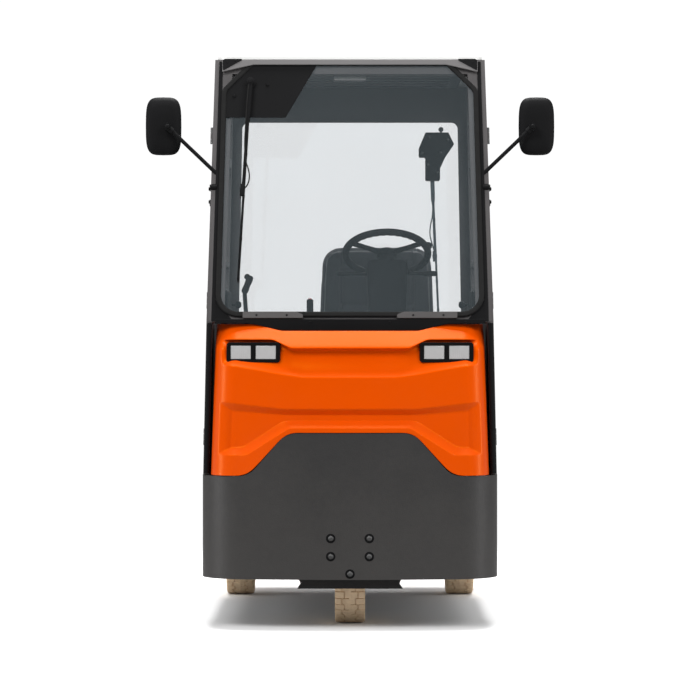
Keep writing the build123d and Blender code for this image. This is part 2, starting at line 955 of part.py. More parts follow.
# The scuttle reaches behind the cowl in the dip and follows the cowl's top edge beside it.
scuttle_half = screen_foot_half + seal_width
with BuildPart() as scuttle_panel:
    with BuildSketch(Plane.XZ.offset(scuttle_setback - nose - windscreen_station)):
        add(
            symmetric_face(
                (
                    (0, screen_foot_plane_z - slit),
                    (scuttle_half, screen_foot_plane_z - slit),
                    (scuttle_half, cowl_top_z + slit),
                    (cowl_dip_foot_half, cowl_top_z + slit),
                    (cowl_dip_half, cowl_top_z - cowl_dip + slit),
                    (cowl_dip_half - slit, cowl_top_z - 2 * cowl_dip),
                    (0, cowl_top_z - 2 * cowl_dip),
                )
            )
        )
    extrude(amount=-scuttle_thickness)
save(scuttle_panel, "scuttle_panel")

with BuildPart() as roof_panel:
    with BuildSketch(Plane.XY.offset(cab_top_z)):
        add(
            outline_face(
                (
                    (-side_half(cab_top_z) + roof_inset, screen_y(cab_top_z) - roof_overhang),
                    (side_half(cab_top_z) - roof_inset, screen_y(cab_top_z) - roof_overhang),
                    (side_half(cab_top_z) - roof_inset, cab_back_y + roof_overhang),
                    (-side_half(cab_top_z) + roof_inset, cab_back_y + roof_overhang),
                ),
                roof_corner,
            )
        )
    extrude(amount=roof_thickness)
    fillet(roof_panel.edges().group_by(Axis.Z)[-1], min(roof_edge, roof_thickness - slit))
save(roof_panel, "roof_panel")

# ---------------------------------------------------------------- fixed windows
with BuildPart() as quarter_windows:
    with BuildSketch(side_plane.offset(-side_wall / 2)):
        add(outline_face(front_quarter, window_corner / 2))
        add(outline_face(rear_quarter, window_corner))
    extrude(amount=-glass_thickness)
    mirror(about=Plane.YZ)
save(quarter_windows, "quarter_windows")

rear_pivot = (-rear_wiper_x, rear_window_top_z - rear_wiper_drop)
with BuildPart() as rear_window:
    with BuildSketch(rear_glass_plane):
        add(rear_window_outline.sketch)
        with Locations(rear_pivot):
            Circle(spindle_radius + slit / 2, mode=Mode.SUBTRACT)
    extrude(amount=glass_thickness)
save(rear_window, "rear_window_glass")

# ---------------------------------------------------------------- wipers
motor_outline = (
    # x, height above the spindle; the housing narrows downwards
    (-motor_neck_half, -motor_foot),
    (motor_neck_half, -motor_foot),
    (motor_neck_half, motor_neck_top),
    (motor_shoulder, motor_neck_top),
    (motor_shoulder, motor_shoulder_top),
    (motor_neck_half, motor_top),
    (-motor_top_half, motor_top),
    (-motor_end, motor_end_rise),
    (-motor_waist, motor_neck_top),
    (-motor_neck_half, motor_neck_top - 2 * motor_foot),
)
with BuildPart() as wiper_motors:
    with BuildSketch(screen_plane.offset(-front_frame - motor_depth / 2)):
        with Locations(wiper_pivot):
            Circle(front_motor_radius)
    extrude(amount=motor_depth / 2 + front_frame)
    with BuildSketch(screen_plane):
        with Locations(wiper_pivot):
            Circle(spindle_radius)
    extrude(amount=spindle_length)
    with BuildSketch(rear_glass_plane.offset(-motor_depth - slit)):
        with Locations(rear_pivot):
            add(outline_face(motor_outline, motor_corner))
    extrude(amount=motor_depth)
    with BuildSketch(rear_glass_plane.offset(-motor_depth / 2)):
        with Locations(rear_pivot):
            Circle(spindle_radius)
    extrude(amount=motor_depth / 2 + spindle_length)
save(wiper_motors, "wiper_motors")

for name, plane, pivot, arm_length, arm_aside, blade_top, blade, blade_aside in (
    (
        "front_wiper",
        screen_plane,
        wiper_pivot,
        front_wiper_arm,
        arm_run,
        blade_drop,
        blade_length,
        blade_run,
    ),
    (
        "rear_wiper",
        rear_glass_plane,
        rear_pivot,
        rear_wiper_arm,
        rear_arm_run,
        rear_blade_drop,
        rear_blade_length,
        rear_blade_run,
    ),
):
    with BuildPart() as wiper:
        with BuildSketch(plane.offset(spindle_length - wiper_hub_height / 2)):
            with Locations(pivot):
                Circle(wiper_hub_radius)
                add(
                    outline_face(
                        (
                            (-wiper_arm_half, 0),
                            (-arm_aside - blade_half, -arm_length),
                            (-arm_aside + blade_half, -arm_length),
                            (wiper_arm_half, 0),
                        )
                    )
                )
                Circle(spindle_radius + shaft_play, mode=Mode.SUBTRACT)
        extrude(amount=wiper_hub_height)
        blade_top_run = blade_aside * blade_top / (blade_top + blade)
        with BuildSketch(plane.offset(blade_lift)):
            with Locations(pivot):
                add(
                    outline_face(
                        (
                            (-blade_top_run - blade_half, -blade_top),
                            (-blade_top_run + blade_half, -blade_top),
                            (-blade_aside + blade_half, -blade_top - blade),
                            (-blade_aside - blade_half, -blade_top - blade),
                        )
                    )
                )
        extrude(amount=spindle_length - blade_lift - slit)
    save(wiper, name)

# ---------------------------------------------------------------- chassis
beam_height = floor_z - floor_plate - frame_foot_z
with BuildPart() as chassis_frame:
    # Cab floor.
    with BuildSketch(Plane.XY.offset(floor_z - floor_plate)):
        add(
            nose_plan(
                frame_half - frame_wall / 2,
                plate_station - plate_thickness,
                bumper_bow,
                bumper_corner_radius - bumper_wall,
                battery_front_y - nose,
            )
        )
    extrude(amount=floor_plate)
    for side in (-1, 1):
        # Rear beams between the wheels.
        with Locations((side * rear_beam_x, battery_rear_y - frame_wall, rear_beam_z)):
            Box(
                frame_wall,
                rear_body_y - body_skin - slit - battery_rear_y + frame_wall,
                floor_z - slit - rear_beam_z,
                align=to_back_up,
            )
    # Battery bay: bulkheads, floor and the deck that carries the seat.
    for bulkhead_y in (battery_front_y, battery_rear_y):
        with Locations((0, bulkhead_y, frame_foot_z)):
            Box(2 * deck_half, frame_wall, deck_top_z - frame_foot_z, align=to_front_up)
    with Locations((0, battery_front_y - frame_wall, frame_foot_z)):
        Box(2 * deck_half, battery_rear_y - battery_front_y + frame_wall, floor_plate, align=to_back_up)
    with Locations((0, battery_front_y - frame_wall, deck_top_z)):
        Box(
            2 * deck_half,
            cab_back_y - side_wall - battery_front_y + frame_wall,
            floor_plate,
            align=to_back_down,
        )
    # Rear plate behind the coupling.
    with Locations((0, rear_body_y - body_skin - slit, ground_clearance)):
        Box(2 * rear_beam_x + frame_wall, frame_wall, floor_z - ground_clearance, align=to_front_up)
    with Locations((0, front_axle_y, floor_z)):
        Cylinder(kingpin_radius + shaft_play, 2 * floor_plate + slit, mode=Mode.SUBTRACT)
save(chassis_frame, "chassis_frame")

with BuildPart() as steering_head:
    with Locations((0, front_axle_y, floor_z - floor_plate)):
        Cylinder(head_radius, head_height - floor_plate, align=downwards)
        Cylinder(kingpin_radius + shaft_play, 2 * head_height, mode=Mode.SUBTRACT)
save(steering_head, "steering_head")

with BuildPart() as front_beams:
    # Plate behind the hitch holes, and the beams that carry the bumper and the floor.
    with Locations((0, nose + plate_station, frame_foot_z)):
        Box(2 * beam_x, plate_thickness, beam_height, align=to_back_up)
    for side in (-1, 1):
        with Locations((side * beam_x, nose + plate_station, frame_foot_z)):
            Box(
                frame_wall,
                battery_front_y - frame_wall - nose - plate_station,
                beam_height,
                align=to_back_up,
            )
    with BuildSketch(front_view):
        with Locations((0, ground_clearance + hitch_height)):
            with GridLocations(hitch_spacing_x, hitch_spacing_z, 2, 2):
                Circle(hitch_hole_radius)
        with Locations((0, ground_clearance + tow_hole_height)):
            Circle(hitch_hole_radius)
    extrude(amount=-bumper_depth / 2, mode=Mode.SUBTRACT)
save(front_beams, "front_beams")

with BuildPart() as side_sills:
    with Locations((frame_half, bumper_back_y + slit, ground_clearance)):
        Box(
            frame_wall,
            battery_rear_y - bumper_back_y - slit,
            floor_z - ground_clearance,
            align=to_back_up,
        )
    with BuildSketch(Plane.YZ.offset(frame_half)):
        with Locations((step_y, step_z + step_height / 2)):
            RectangleRounded(step_length, step_height, step_corner)
    extrude(amount=frame_wall, both=True, mode=Mode.SUBTRACT)
    with Locations((frame_half + frame_wall / 2, step_y, step_z)):
        Box(step_depth, step_length, floor_plate, align=(Align.MAX, Align.CENTER, Align.MAX))
    # Brackets to the floor beside the step.
    for bracket_side in (-1, 1):
        with Locations(
            (
                frame_half + frame_wall / 2,
                step_y + bracket_side * (step_length / 2 + bracket_gap),
                step_z - floor_plate,
            )
        ):
            Box(
                frame_half - beam_x - frame_wall,
                floor_plate,
                floor_z - step_z,
                align=(Align.MAX, Align.CENTER, Align.MIN),
            )
    mirror(about=Plane.YZ)
save(side_sills, "side_sills")

with BuildPart() as battery:
    with Locations((0, battery_front_y + battery_play, frame_foot_z + floor_plate)):
        Box(
            2 * (deck_half - battery_play),
            battery_rear_y - frame_wall - battery_front_y - 2 * battery_play,
            deck_top_z - frame_foot_z - 2 * floor_plate - battery_play,
            align=to_back_up,
        )
save(battery, "battery_block")

# ---------------------------------------------------------------- wheels and axles
fork_x = tyre_width / 2 + fork_gap
with BuildPart() as steering_fork:
    with Locations((0, front_axle_y, crown_z)):
        Cylinder(fork_foot_radius, fork_crown, align=upwards)
        Box(2 * (fork_x + fork_leg), 2 * fork_foot_radius, fork_crown, align=upwards)
        Cylinder(kingpin_radius, fork_crown + head_gap + head_height + slit, align=upwards)
    with BuildSketch(Plane.YZ.offset(fork_x)):
        with Locations((front_axle_y, wheel_z)):
            Circle(fork_foot_radius)
            Rectangle(
                2 * fork_foot_radius, crown_z + slit - wheel_z, align=(Align.CENTER, Align.MIN)
            )
    extrude(amount=fork_leg)
    with BuildSketch(Plane.YZ.offset(-hub_length / 2)):
        with Locations((front_axle_y, wheel_z)):
            Circle(axle_radius)
    extrude(amount=hub_length / 2 + fork_x + fork_leg / 2)
save(steering_fork, "steering_fork")

for name, wheel_x, wheel_y in (
    # name, middle of the tyre, axle
    ("front", 0, front_axle_y),
    ("rear_left", rear_track / 2, rear_axle_y),
    ("rear_right", -rear_track / 2, rear_axle_y),
):
    with BuildPart() as tyre:
        with BuildSketch(Plane.YZ.offset(wheel_x)):
            with Locations((wheel_y, wheel_z)):
                Circle(tyre_diameter / 2)
        extrude(amount=tyre_width / 2, both=True)
        fillet(tyre.edges().filter_by(GeomType.CIRCLE), tyre_shoulder)
        with BuildSketch(Plane.YZ.offset(wheel_x)):
            with Locations((wheel_y, wheel_z)):
                Circle(rim_diameter / 2)
        extrude(amount=tyre_width, both=True, mode=Mode.SUBTRACT)
    save(tyre, f"{name}_tyre")
    with BuildPart() as rim:
        with BuildSketch(Plane.YZ.offset(wheel_x)):
            with Locations((wheel_y, wheel_z)):
                Circle(rim_diameter / 2)
                Circle(rim_diameter / 2 - rim_wall, mode=Mode.SUBTRACT)
        extrude(amount=rim_width / 2, both=True)
        with BuildSketch(Plane.YZ.offset(wheel_x)):
            with Locations((wheel_y, wheel_z)):
                Circle(rim_diameter / 2 - rim_wall / 2)
        extrude(amount=rim_disc / 2, both=True)
        with BuildSketch(Plane.YZ.offset(wheel_x)):
            with Locations((wheel_y, wheel_z)):
                Circle(hub_radius)
        extrude(amount=hub_length / 2, both=True)
        with BuildSketch(Plane.YZ.offset(wheel_x)):
            with Locations((wheel_y, wheel_z)):
                Circle(axle_radius + shaft_play)
        extrude(amount=hub_length, both=True, mode=Mode.SUBTRACT)
    save(rim, f"{name}_rim")

with BuildPart() as drive_axle:
    with BuildSketch(Plane.YZ):
        with Locations((rear_axle_y, wheel_z)):
            Circle(axle_tube_radius)
    extrude(amount=rear_track / 2 - hub_length / 2 - slit, both=True)
    with BuildSketch(Plane.YZ):
        with Locations((rear_axle_y, wheel_z)):
            Circle(axle_radius)
    extrude(amount=rear_track / 2 + hub_length / 2, both=True)
    with BuildSketch(Plane.YZ):
        with Locations((rear_axle_y, wheel_z)):
            Circle(motor_radius)
    extrude(amount=motor_length / 2, both=True)
    with Locations((motor_length / 2, rear_axle_y, wheel_z)):
        Box(motor_length, motor_length, gearbox_rise, align=upwards)
    # Lugs up to the rear beams.
    for side in (-1, 1):
        with Locations((side * (rear_beam_x - frame_wall / 2), rear_axle_y, wheel_z)):
            Box(
                frame_wall,
                2 * axle_tube_radius,
                floor_z - slit - wheel_z,
                align=(Align.MAX if side > 0 else Align.MIN, Align.CENTER, Align.MIN),
            )
save(drive_axle, "drive_axle")

# ---------------------------------------------------------------- rear body
skirt_y = battery_rear_y + slit
hood_hinge_y = cab_back_y + hood_gap + slit / 2
hood_hinge_z = deck_z + hood_barrel_radius + slit / 4
body_void = 2 * (bumper_half - body_skin)
with BuildPart() as rear_body:
    for foot, head, front_y in (
        # foot, head, front end
        (ground_clearance, floor_z - slit, skirt_y),
        (floor_z - slit, deck_z, cab_back_y + slit),
    ):
        with BuildSketch(Plane.XY.offset(foot)) as body_plan:
            with Locations((0, rear_body_y)):
                Rectangle(bumper_width, rear_body_y - front_y, align=(Align.CENTER, Align.MAX))
            fillet(body_plan.vertices().group_by(Axis.Y)[-1], rear_corner_radius)
        extrude(amount=head - foot)
    with BuildSketch(Plane.XY.offset(ground_clearance)) as body_void_plan:
        with Locations((0, rear_body_y - body_skin)):
            Rectangle(body_void, overall_length, align=(Align.CENTER, Align.MAX))
        fillet(body_void_plan.vertices().group_by(Axis.Y)[-1], rear_corner_radius - body_skin)
    extrude(amount=deck_z - body_skin - ground_clearance, mode=Mode.SUBTRACT)
    # Wheel arches.
    with BuildSketch(Plane.YZ):
        with Locations((rear_axle_y, wheel_z)):
            Circle(tyre_diameter / 2 + wheel_clearance)
    extrude(amount=bumper_width, both=True, mode=Mode.SUBTRACT)
    # Opening under the hood.
    with Locations((0, cab_back_y + hood_gap, deck_z)):
        Box(
            2 * (hood_half + door_gap),
            rear_deck_length - hood_gap - hood_edge + door_gap,
            4 * body_skin,
            align=(Align.CENTER, Align.MIN, Align.CENTER),
            mode=Mode.SUBTRACT,
        )
    # Opening for the coupling.
    with Locations((0, rear_body_y, coupling_jaw_z[0])):
        Box(
            2 * (coupling_half + coupling_flange),
            8 * body_skin,
            2 * (coupling_jaw_z[-1] - coupling_jaw_z[0] + coupling_pitch),
            align=(Align.CENTER, Align.CENTER, Align.CENTER),
            mode=Mode.SUBTRACT,
        )
    # Ears and pins of the hood's hinges.
    for hinge_x in (-hood_hinge_x, hood_hinge_x):
        for side in (-1, 1):
            with Locations(
                (
                    hinge_x + side * ((hood_hinge_length + hood_ear) / 2 + hood_ear_gap),
                    hood_hinge_y + hood_pin_radius,
                    deck_z,
                )
            ):
                Box(hood_ear, hood_ear_depth, 2 * hood_barrel_radius, align=to_front_up)
        with BuildSketch(Plane.YZ.offset(hinge_x)):
            with Locations((hood_hinge_y, hood_hinge_z)):
                Circle(hood_pin_radius)
        extrude(amount=(hood_hinge_length + hood_ear) / 2, both=True)
save(rear_body, "rear_body")

hood_front_y = cab_back_y + hood_gap + door_gap
with BuildPart() as rear_hood:
    with BuildSketch(Plane.XY.offset(deck_z)):
        with Locations((0, rear_body_y - hood_edge)):
            RectangleRounded(
                2 * hood_half,
                rear_body_y - hood_edge - hood_front_y,
                hood_corner,
                align=(Align.CENTER, Align.MAX),
            )
    extrude(amount=-hood_thickness)
    for hinge_x in (-hood_hinge_x, hood_hinge_x):
        with Locations((hinge_x, hood_hinge_y, deck_z)):
            Box(hood_hinge_length, hood_leaf, hood_leaf_thickness, align=to_back_up)
        for radius, way in (
            (hood_barrel_radius, Mode.ADD),
            (hood_pin_radius + shaft_play, Mode.SUBTRACT),
        ):
            with BuildSketch(Plane.YZ.offset(hinge_x)):
                with Locations((hood_hinge_y, hood_hinge_z)):
                    Circle(radius)
            extrude(amount=hood_hinge_length / 2, both=True, mode=way)
save(rear_hood, "rear_hood")

with BuildPart() as tail_lamps:
    with BuildSketch(Plane.XZ.offset(-rear_body_y)):
        with Locations((0, deck_z - tail_lamp_drop)):
            with GridLocations(2 * (bumper_half - tail_lamp_inset), 1, 2, 1):
                RectangleRounded(tail_lamp_width, tail_lamp_height, tail_lamp_corner)
    extrude(amount=-tail_lamp_depth)
save(tail_lamps, "tail_lamps")

coupling_head = coupling_jaw_z[-1] + coupling_plate
with BuildPart() as tow_coupling:
    with Locations((0, rear_body_y - body_skin - slit, coupling_foot - coupling_margin)):
        Box(
            2 * coupling_half + coupling_flange,
            2 * body_skin + slit,
            coupling_head - coupling_foot + 2 * coupling_margin,
            align=to_back_up,
        )
    for jaw_z in coupling_jaw_z:
        with BuildSketch(Plane.XY.offset(jaw_z)):
            with Locations((0, rear_body_y)):
                Rectangle(2 * coupling_half, coupling_reach - coupling_half, align=(Align.CENTER, Align.MIN))
            with Locations((0, coupling_pin_y)):
                Circle(coupling_half)
                Circle(coupling_pin_radius + pin_play, mode=Mode.SUBTRACT)
        extrude(amount=coupling_plate)
    # Cheeks that join the jaws.
    for side in (-1, 1):
        with Locations((side * coupling_half, rear_body_y, coupling_foot)):
            Box(frame_wall, coupling_cheek, coupling_head - coupling_foot, align=to_back_up)
save(tow_coupling, "tow_coupling")

with BuildPart() as tow_pin:
    with Locations((0, coupling_pin_y, coupling_foot - pin_lead)):
        Cylinder(coupling_pin_radius, coupling_head - coupling_foot + pin_lead + pin_head, align=upwards)
    with Locations((0, coupling_pin_y, coupling_head + pin_play)):
        Cylinder(coupling_pin_radius + pin_collar, pin_collar, align=upwards)
    with Locations((0, coupling_pin_y, coupling_head + pin_head + ring_radius - ring_bar)):
        Torus(ring_radius, ring_bar, rotation=(90, 0, 0))
save(tow_pin, "tow_pin")

# ---------------------------------------------------------------- seat and controls
with BuildPart() as seat_base:
    with Locations((seat_x, seat_rear_y - door_gap, deck_top_z)):
        Box(
            seat_width - 2 * base_inset,
            seat_length - base_inset,
            cushion_lift - cushion_thickness,
            align=to_front_up,
        )
save(seat_base, "seat_base")

with BuildPart() as seat_cushion:
    with BuildSketch(Plane.XY.offset(cushion_top_z - cushion_thickness)):
        with Locations((seat_x, seat_rear_y - backrest_thickness)):
            RectangleRounded(
                seat_width,
                seat_length - backrest_thickness,
                seat_corner,
                align=(Align.CENTER, Align.MAX),
            )
    extrude(amount=cushion_thickness)
    fillet(seat_cushion.edges().group_by(Axis.Z)[-1], seat_edge)
save(seat_cushion, "seat_cushion")

with BuildPart() as seat_backrest:
    with BuildSketch(Plane.XZ.offset(-seat_rear_y)) as back_outline:
        with BuildLine():
            Polyline(
                (seat_x - seat_width / 2, cushion_top_z - cushion_thickness),
                (seat_x + seat_width / 2, cushion_top_z - cushion_thickness),
                (seat_x + seat_top_width / 2, seat_top_z),
                (seat_x - seat_top_width / 2, seat_top_z),
                close=True,
            )
        make_face()
        fillet(back_outline.vertices().group_by(Axis.Y)[-1], seat_shoulder)
        fillet(back_outline.vertices().group_by(Axis.Y)[0], seat_edge)
    extrude(amount=backrest_thickness - slit / 2)
save(seat_backrest, "seat_backrest")

with BuildPart() as seat_belt_buckle:
    with Locations((buckle_x, seat_rear_y - buckle_setback, deck_top_z)):
        Box(stalk_width, stalk_depth, buckle_height, align=upwards)
    with Locations((buckle_x, seat_rear_y - buckle_setback, deck_top_z + buckle_height)):
        Box(buckle_width, buckle_depth, buckle_head, align=upwards)
save(seat_belt_buckle, "seat_belt_buckle")

dashboard_y = screen_y(screen_foot_plane_z) + front_frame + dashboard_gap
dashboard_top_z = cowl_top_z - dashboard_gap
with BuildPart() as dashboard:
    with BuildSketch(Plane.YZ):
        add(
            outline_face(
                (
                    (dashboard_y, dashboard_top_z),
                    (dashboard_y, dashboard_top_z - dashboard_height),
                    (nose + dashboard_foot_station, dashboard_top_z - dashboard_height),
                    (nose + dashboard_station, dashboard_top_z - 5 * dashboard_face / 3),
                    (nose + dashboard_station, dashboard_top_z - 2 * dashboard_face / 3),
                )
            )
        )
    extrude(amount=bumper_half - dashboard_inset, both=True)
save(dashboard, "dashboard")

with BuildPart() as steering_console:
    with BuildSketch(wheel_plane.offset(-column_top)):
        RectangleRounded(column_width, column_depth, column_corner)
    with BuildSketch(wheel_plane.offset(-column_foot)):
        RectangleRounded(foot_width, foot_depth, column_corner)
    loft()
    with BuildSketch(wheel_plane.offset(-column_top - column_radius)):
        Circle(column_radius)
    extrude(amount=column_top + column_radius)
    # Foot of the console on the cab floor.
    with Locations((steering_wheel_x, nose + foot_station, floor_z)):
        Box(foot_width, foot_length, steering_wheel_height - foot_drop, align=to_back_up)
    # Stalks.
    with BuildSketch(Plane.YZ.offset(steering_wheel_x)):
        with Locations(
            (nose + steering_wheel_station - stalk_setback, steering_wheel_z - stalk_drop)
        ):
            Circle(stalk_radius)
    extrude(amount=stalk_reach, both=True)
save(steering_console, "steering_console")

with BuildPart() as steering_wheel:
    with Locations(wheel_plane):
        Torus(steering_wheel_radius, steering_rim_radius)
        Cylinder(wheel_hub_radius, wheel_hub_height)
    with BuildSketch(wheel_plane):
        with PolarLocations(steering_wheel_radius / 2, 3, start_angle=270):
            Rectangle(steering_wheel_radius - steering_rim_radius / 2, spoke_width)
    extrude(amount=spoke_thickness / 2, both=True)
    # Spinner knob.
    with BuildSketch(wheel_plane):
        with Locations((steering_wheel_radius, 0)):
            Circle(knob_radius)
    extrude(amount=steering_rim_radius + knob_height)
    # Socket for the column's head.
    with BuildSketch(wheel_plane.offset(-column_neck)):
        Circle(column_radius + socket_wall)
    extrude(amount=column_neck)
    with BuildSketch(wheel_plane.offset(-column_neck)):
        Circle(column_radius + shaft_play)
    extrude(amount=column_neck + slit / 2, mode=Mode.SUBTRACT)
save(steering_wheel, "steering_wheel")

pedal_y = nose + pedal_station
pad_foot_z = floor_z + pedal_rise
with BuildPart() as pedals:
    for pedal_x, pedal_width in (
        (pedal_brake_x, pedal_brake_width),
        (pedal_drive_x, pedal_drive_width),
    ):
        with BuildSketch(Plane.YZ.offset(pedal_x)):
            add(
                outline_face(
                    (
                        (pedal_y, pad_foot_z),
                        (pedal_y + pedal_thickness, pad_foot_z - pedal_thickness / 2),
                        (
                            pedal_y + pedal_thickness - pedal_lean,
                            pad_foot_z - pedal_thickness / 2 + pedal_length,
                        ),
                        (pedal_y - pedal_lean, pad_foot_z + pedal_length),
                    )
                )
            )
        extrude(amount=pedal_width / 2, both=True)
        with BuildSketch(Plane.YZ.offset(pedal_x)):
            add(
                outline_face(
                    (
                        (pedal_y - pedal_stem_gap, floor_z),
                        (pedal_y - pedal_stem_gap + pedal_stem, floor_z),
                        (pedal_y - pedal_lean / 3, pad_foot_z + pedal_length / 3),
                        (pedal_y - pedal_lean / 2, pad_foot_z + pedal_length / 2),
                    )
                )
            )
        extrude(amount=pedal_stem / 2, both=True)
save(pedals, "pedals")

console_x = console_inset - bumper_half
lever_x = console_x - lever_offset
lever_top_z = deck_top_z + lever_height
with BuildPart() as side_console:
    with Locations((console_x, seat_rear_y - base_inset, deck_top_z)):
        Box(console_width, console_length, console_height, align=to_front_up)
    with BuildSketch(Plane.XZ.offset(-battery_front_y - lever_station)):
        add(
            outline_face(
                (
                    (lever_x, deck_top_z + console_height - lever_width),
                    (lever_x + lever_width, deck_top_z + console_height - lever_width),
                    (lever_x + lever_width + lever_lean, lever_top_z),
                    (lever_x + 2 * lever_lean, lever_top_z),
                )
            )
        )
        with Locations((lever_x + 2 * lever_lean, lever_top_z + lever_head_length / 2)):
            Ellipse(lever_head_width, lever_head_length, rotation=-lever_grip_lean)
    extrude(amount=lever_width)
save(side_console, "side_console")

# ---------------------------------------------------------------- mirrors
mirror_x = bumper_half + mirror_reach
mirror_z = cab_top_z - mirror_drop
bracket_z = cab_top_z - bracket_drop
bracket_y = screen_y(bracket_z) + bracket_setback
bracket_x = side_half(bracket_z) + bracket_reach
arm_end = Vector(mirror_x - arm_inset, nose + mirror_station, mirror_z - arm_drop)
arm_bend = Vector(bracket_x, bracket_y, bracket_z + arm_rise)
arm_foot = Vector(bracket_x, bracket_y, bracket_z - arm_tail)
with BuildPart() as mirror_arms:
    with BuildSketch(side_plane):
        with Locations((bracket_y, bracket_z)):
            Rectangle(bracket_width, bracket_height)
    extrude(amount=bracket_reach)
    for start, end in ((arm_foot, arm_bend), (arm_bend, arm_end)):
        with Locations(Plane(origin=start, z_dir=end - start)):
            Cylinder(mirror_arm_radius, (end - start).length, align=upwards)
        with Locations(end):
            Sphere(mirror_arm_radius)
    # Clamp that carries the mirror's head.
    with BuildSketch(Plane.XZ.offset(-arm_end.Y)):
        with Locations((arm_end.X, arm_end.Z)):
            Circle(mirror_arm_radius + clamp_wall)
    extrude(amount=-mirror_clamp)
    mirror(about=Plane.YZ)
save(mirror_arms, "mirror_arms")

mirror_face = Plane.XZ.offset(-arm_end.Y - mirror_clamp)
with BuildPart() as mirror_housings:
    with BuildSketch(mirror_face):
        with Locations((mirror_x, mirror_z)):
            RectangleRounded(mirror_width, mirror_height, mirror_corner)
    extrude(amount=-mirror_depth)
    fillet(mirror_housings.faces().sort_by(Axis.Y)[0].edges(), mirror_edge)
    mirror(about=Plane.YZ)
save(mirror_housings, "mirror_housings")

with BuildPart() as mirror_glasses:
    with BuildSketch(mirror_face.offset(-mirror_depth)):
        with Locations((mirror_x, mirror_z)):
            RectangleRounded(
                mirror_width - mirror_edge, mirror_height - mirror_edge, mirror_corner - mirror_edge / 2
            )
    extrude(amount=-panel_thickness)
    mirror(about=Plane.YZ)
save(mirror_glasses, "mirror_glasses")

# ---------------------------------------------------------------- doors
pane_length = door_length - 2 * door_rail
main_pane_z = waist_z + low_window + low_rail_height
door_panes = (
    # foot, height of each pane
    (waist_z, low_window),
    (main_pane_z, window_top_z - high_window - high_rail_height - main_pane_z),
    (window_top_z - high_window, high_window),
)
with BuildPart() as door_frame:
    with BuildSketch(side_plane):
        add(outline_face(door_outline, window_corner))
        for foot_z, pane_height in door_panes:
            with Locations((door_middle_y, foot_z + pane_height / 2)):
                RectangleRounded(pane_length, pane_height, pane_corner, mode=Mode.SUBTRACT)
    extrude(amount=-door_wall)
    # Slot inside the door for its glass.
    with BuildSketch(side_plane.offset((glass_thickness - door_wall) / 2)):
        with Locations((door_middle_y, (waist_z + window_top_z) / 2)):
            Rectangle(pane_length + 2 * glass_lap, window_top_z - waist_z + 2 * glass_lap)
    extrude(amount=-glass_thickness, mode=Mode.SUBTRACT)
    # Hinge knuckles round the pins.
    for hinge_z in hinge_heights:
        with BuildSketch(side_plane):
            with Locations((hinge_y, hinge_z)):
                Rectangle(hinge_leaf, hinge_knuckle, align=(Align.MIN, Align.CENTER))
        extrude(amount=hinge_leaf_thickness)
        with Locations(hinge_plane(hinge_z)):
            Cylinder(hinge_barrel_radius, hinge_knuckle)
            Cylinder(hinge_pin_radius + shaft_play, hinge_knuckle, mode=Mode.SUBTRACT)
save(door_frame, "door_frame_left")
save_mirrored(door_frame, "door_frame_right")

with BuildPart() as door_lining:
    with BuildSketch(side_plane.offset(-door_wall)):
        with Locations((door_front_y + door_rail, (deck_top_z + waist_z) / 2)):
            RectangleRounded(
                lining_length,
                waist_z - deck_top_z - 2 * lining_margin,
                window_corner,
                align=(Align.MIN, Align.CENTER),
            )
    extrude(amount=-lining_depth)
    fillet(door_lining.edges().group_by(Axis.X)[0], lining_edge)
save(door_lining, "door_lining_left")
save_mirrored(door_lining, "door_lining_right")

with BuildPart() as door_glass:
    with BuildSketch(side_plane.offset((glass_thickness - door_wall) / 2)):
        with Locations((door_middle_y, (waist_z + window_top_z) / 2)):
            Rectangle(pane_length + 2 * glass_lap, window_top_z - waist_z + 2 * glass_lap)
    extrude(amount=-glass_thickness)
save(door_glass, "door_glass_left")
save_mirrored(door_glass, "door_glass_right")

with BuildPart() as door_handle:
    with BuildSketch(side_plane):
        with Locations((door_rear_y - 2 * handle_width, waist_z - handle_drop)):
            RectangleRounded(handle_width, handle_length, handle_corner)
    extrude(amount=handle_thickness)
save(door_handle, "door_handle_left")
save_mirrored(door_handle, "door_handle_right")

with BuildPart() as door_hinges:
    for hinge_z in hinge_heights:
        with Locations(hinge_plane(hinge_z)):
            Cylinder(hinge_pin_radius, hinge_knuckle + 2 * hinge_barrel)
        for side in (-1, 1):
            barrel_z = hinge_z + side * (hinge_knuckle + hinge_barrel + slit / 2) / 2
            with Locations(hinge_plane(barrel_z)):
                Cylinder(hinge_barrel_radius, hinge_barrel - slit / 2)
            with BuildSketch(side_plane):
                with Locations((hinge_y - slit, barrel_z)):
                    Rectangle(hinge_leaf, hinge_barrel - slit / 2, align=(Align.MAX, Align.CENTER))
            extrude(amount=hinge_leaf_thickness)
    mirror(about=Plane.YZ)
save(door_hinges, "door_hinges")
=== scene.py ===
import bmesh
import bpy
import json
from math import atan2, cos, exp, pi, radians, sin, sqrt, tan
from mathutils import Matrix, Vector, bvhtree, noise

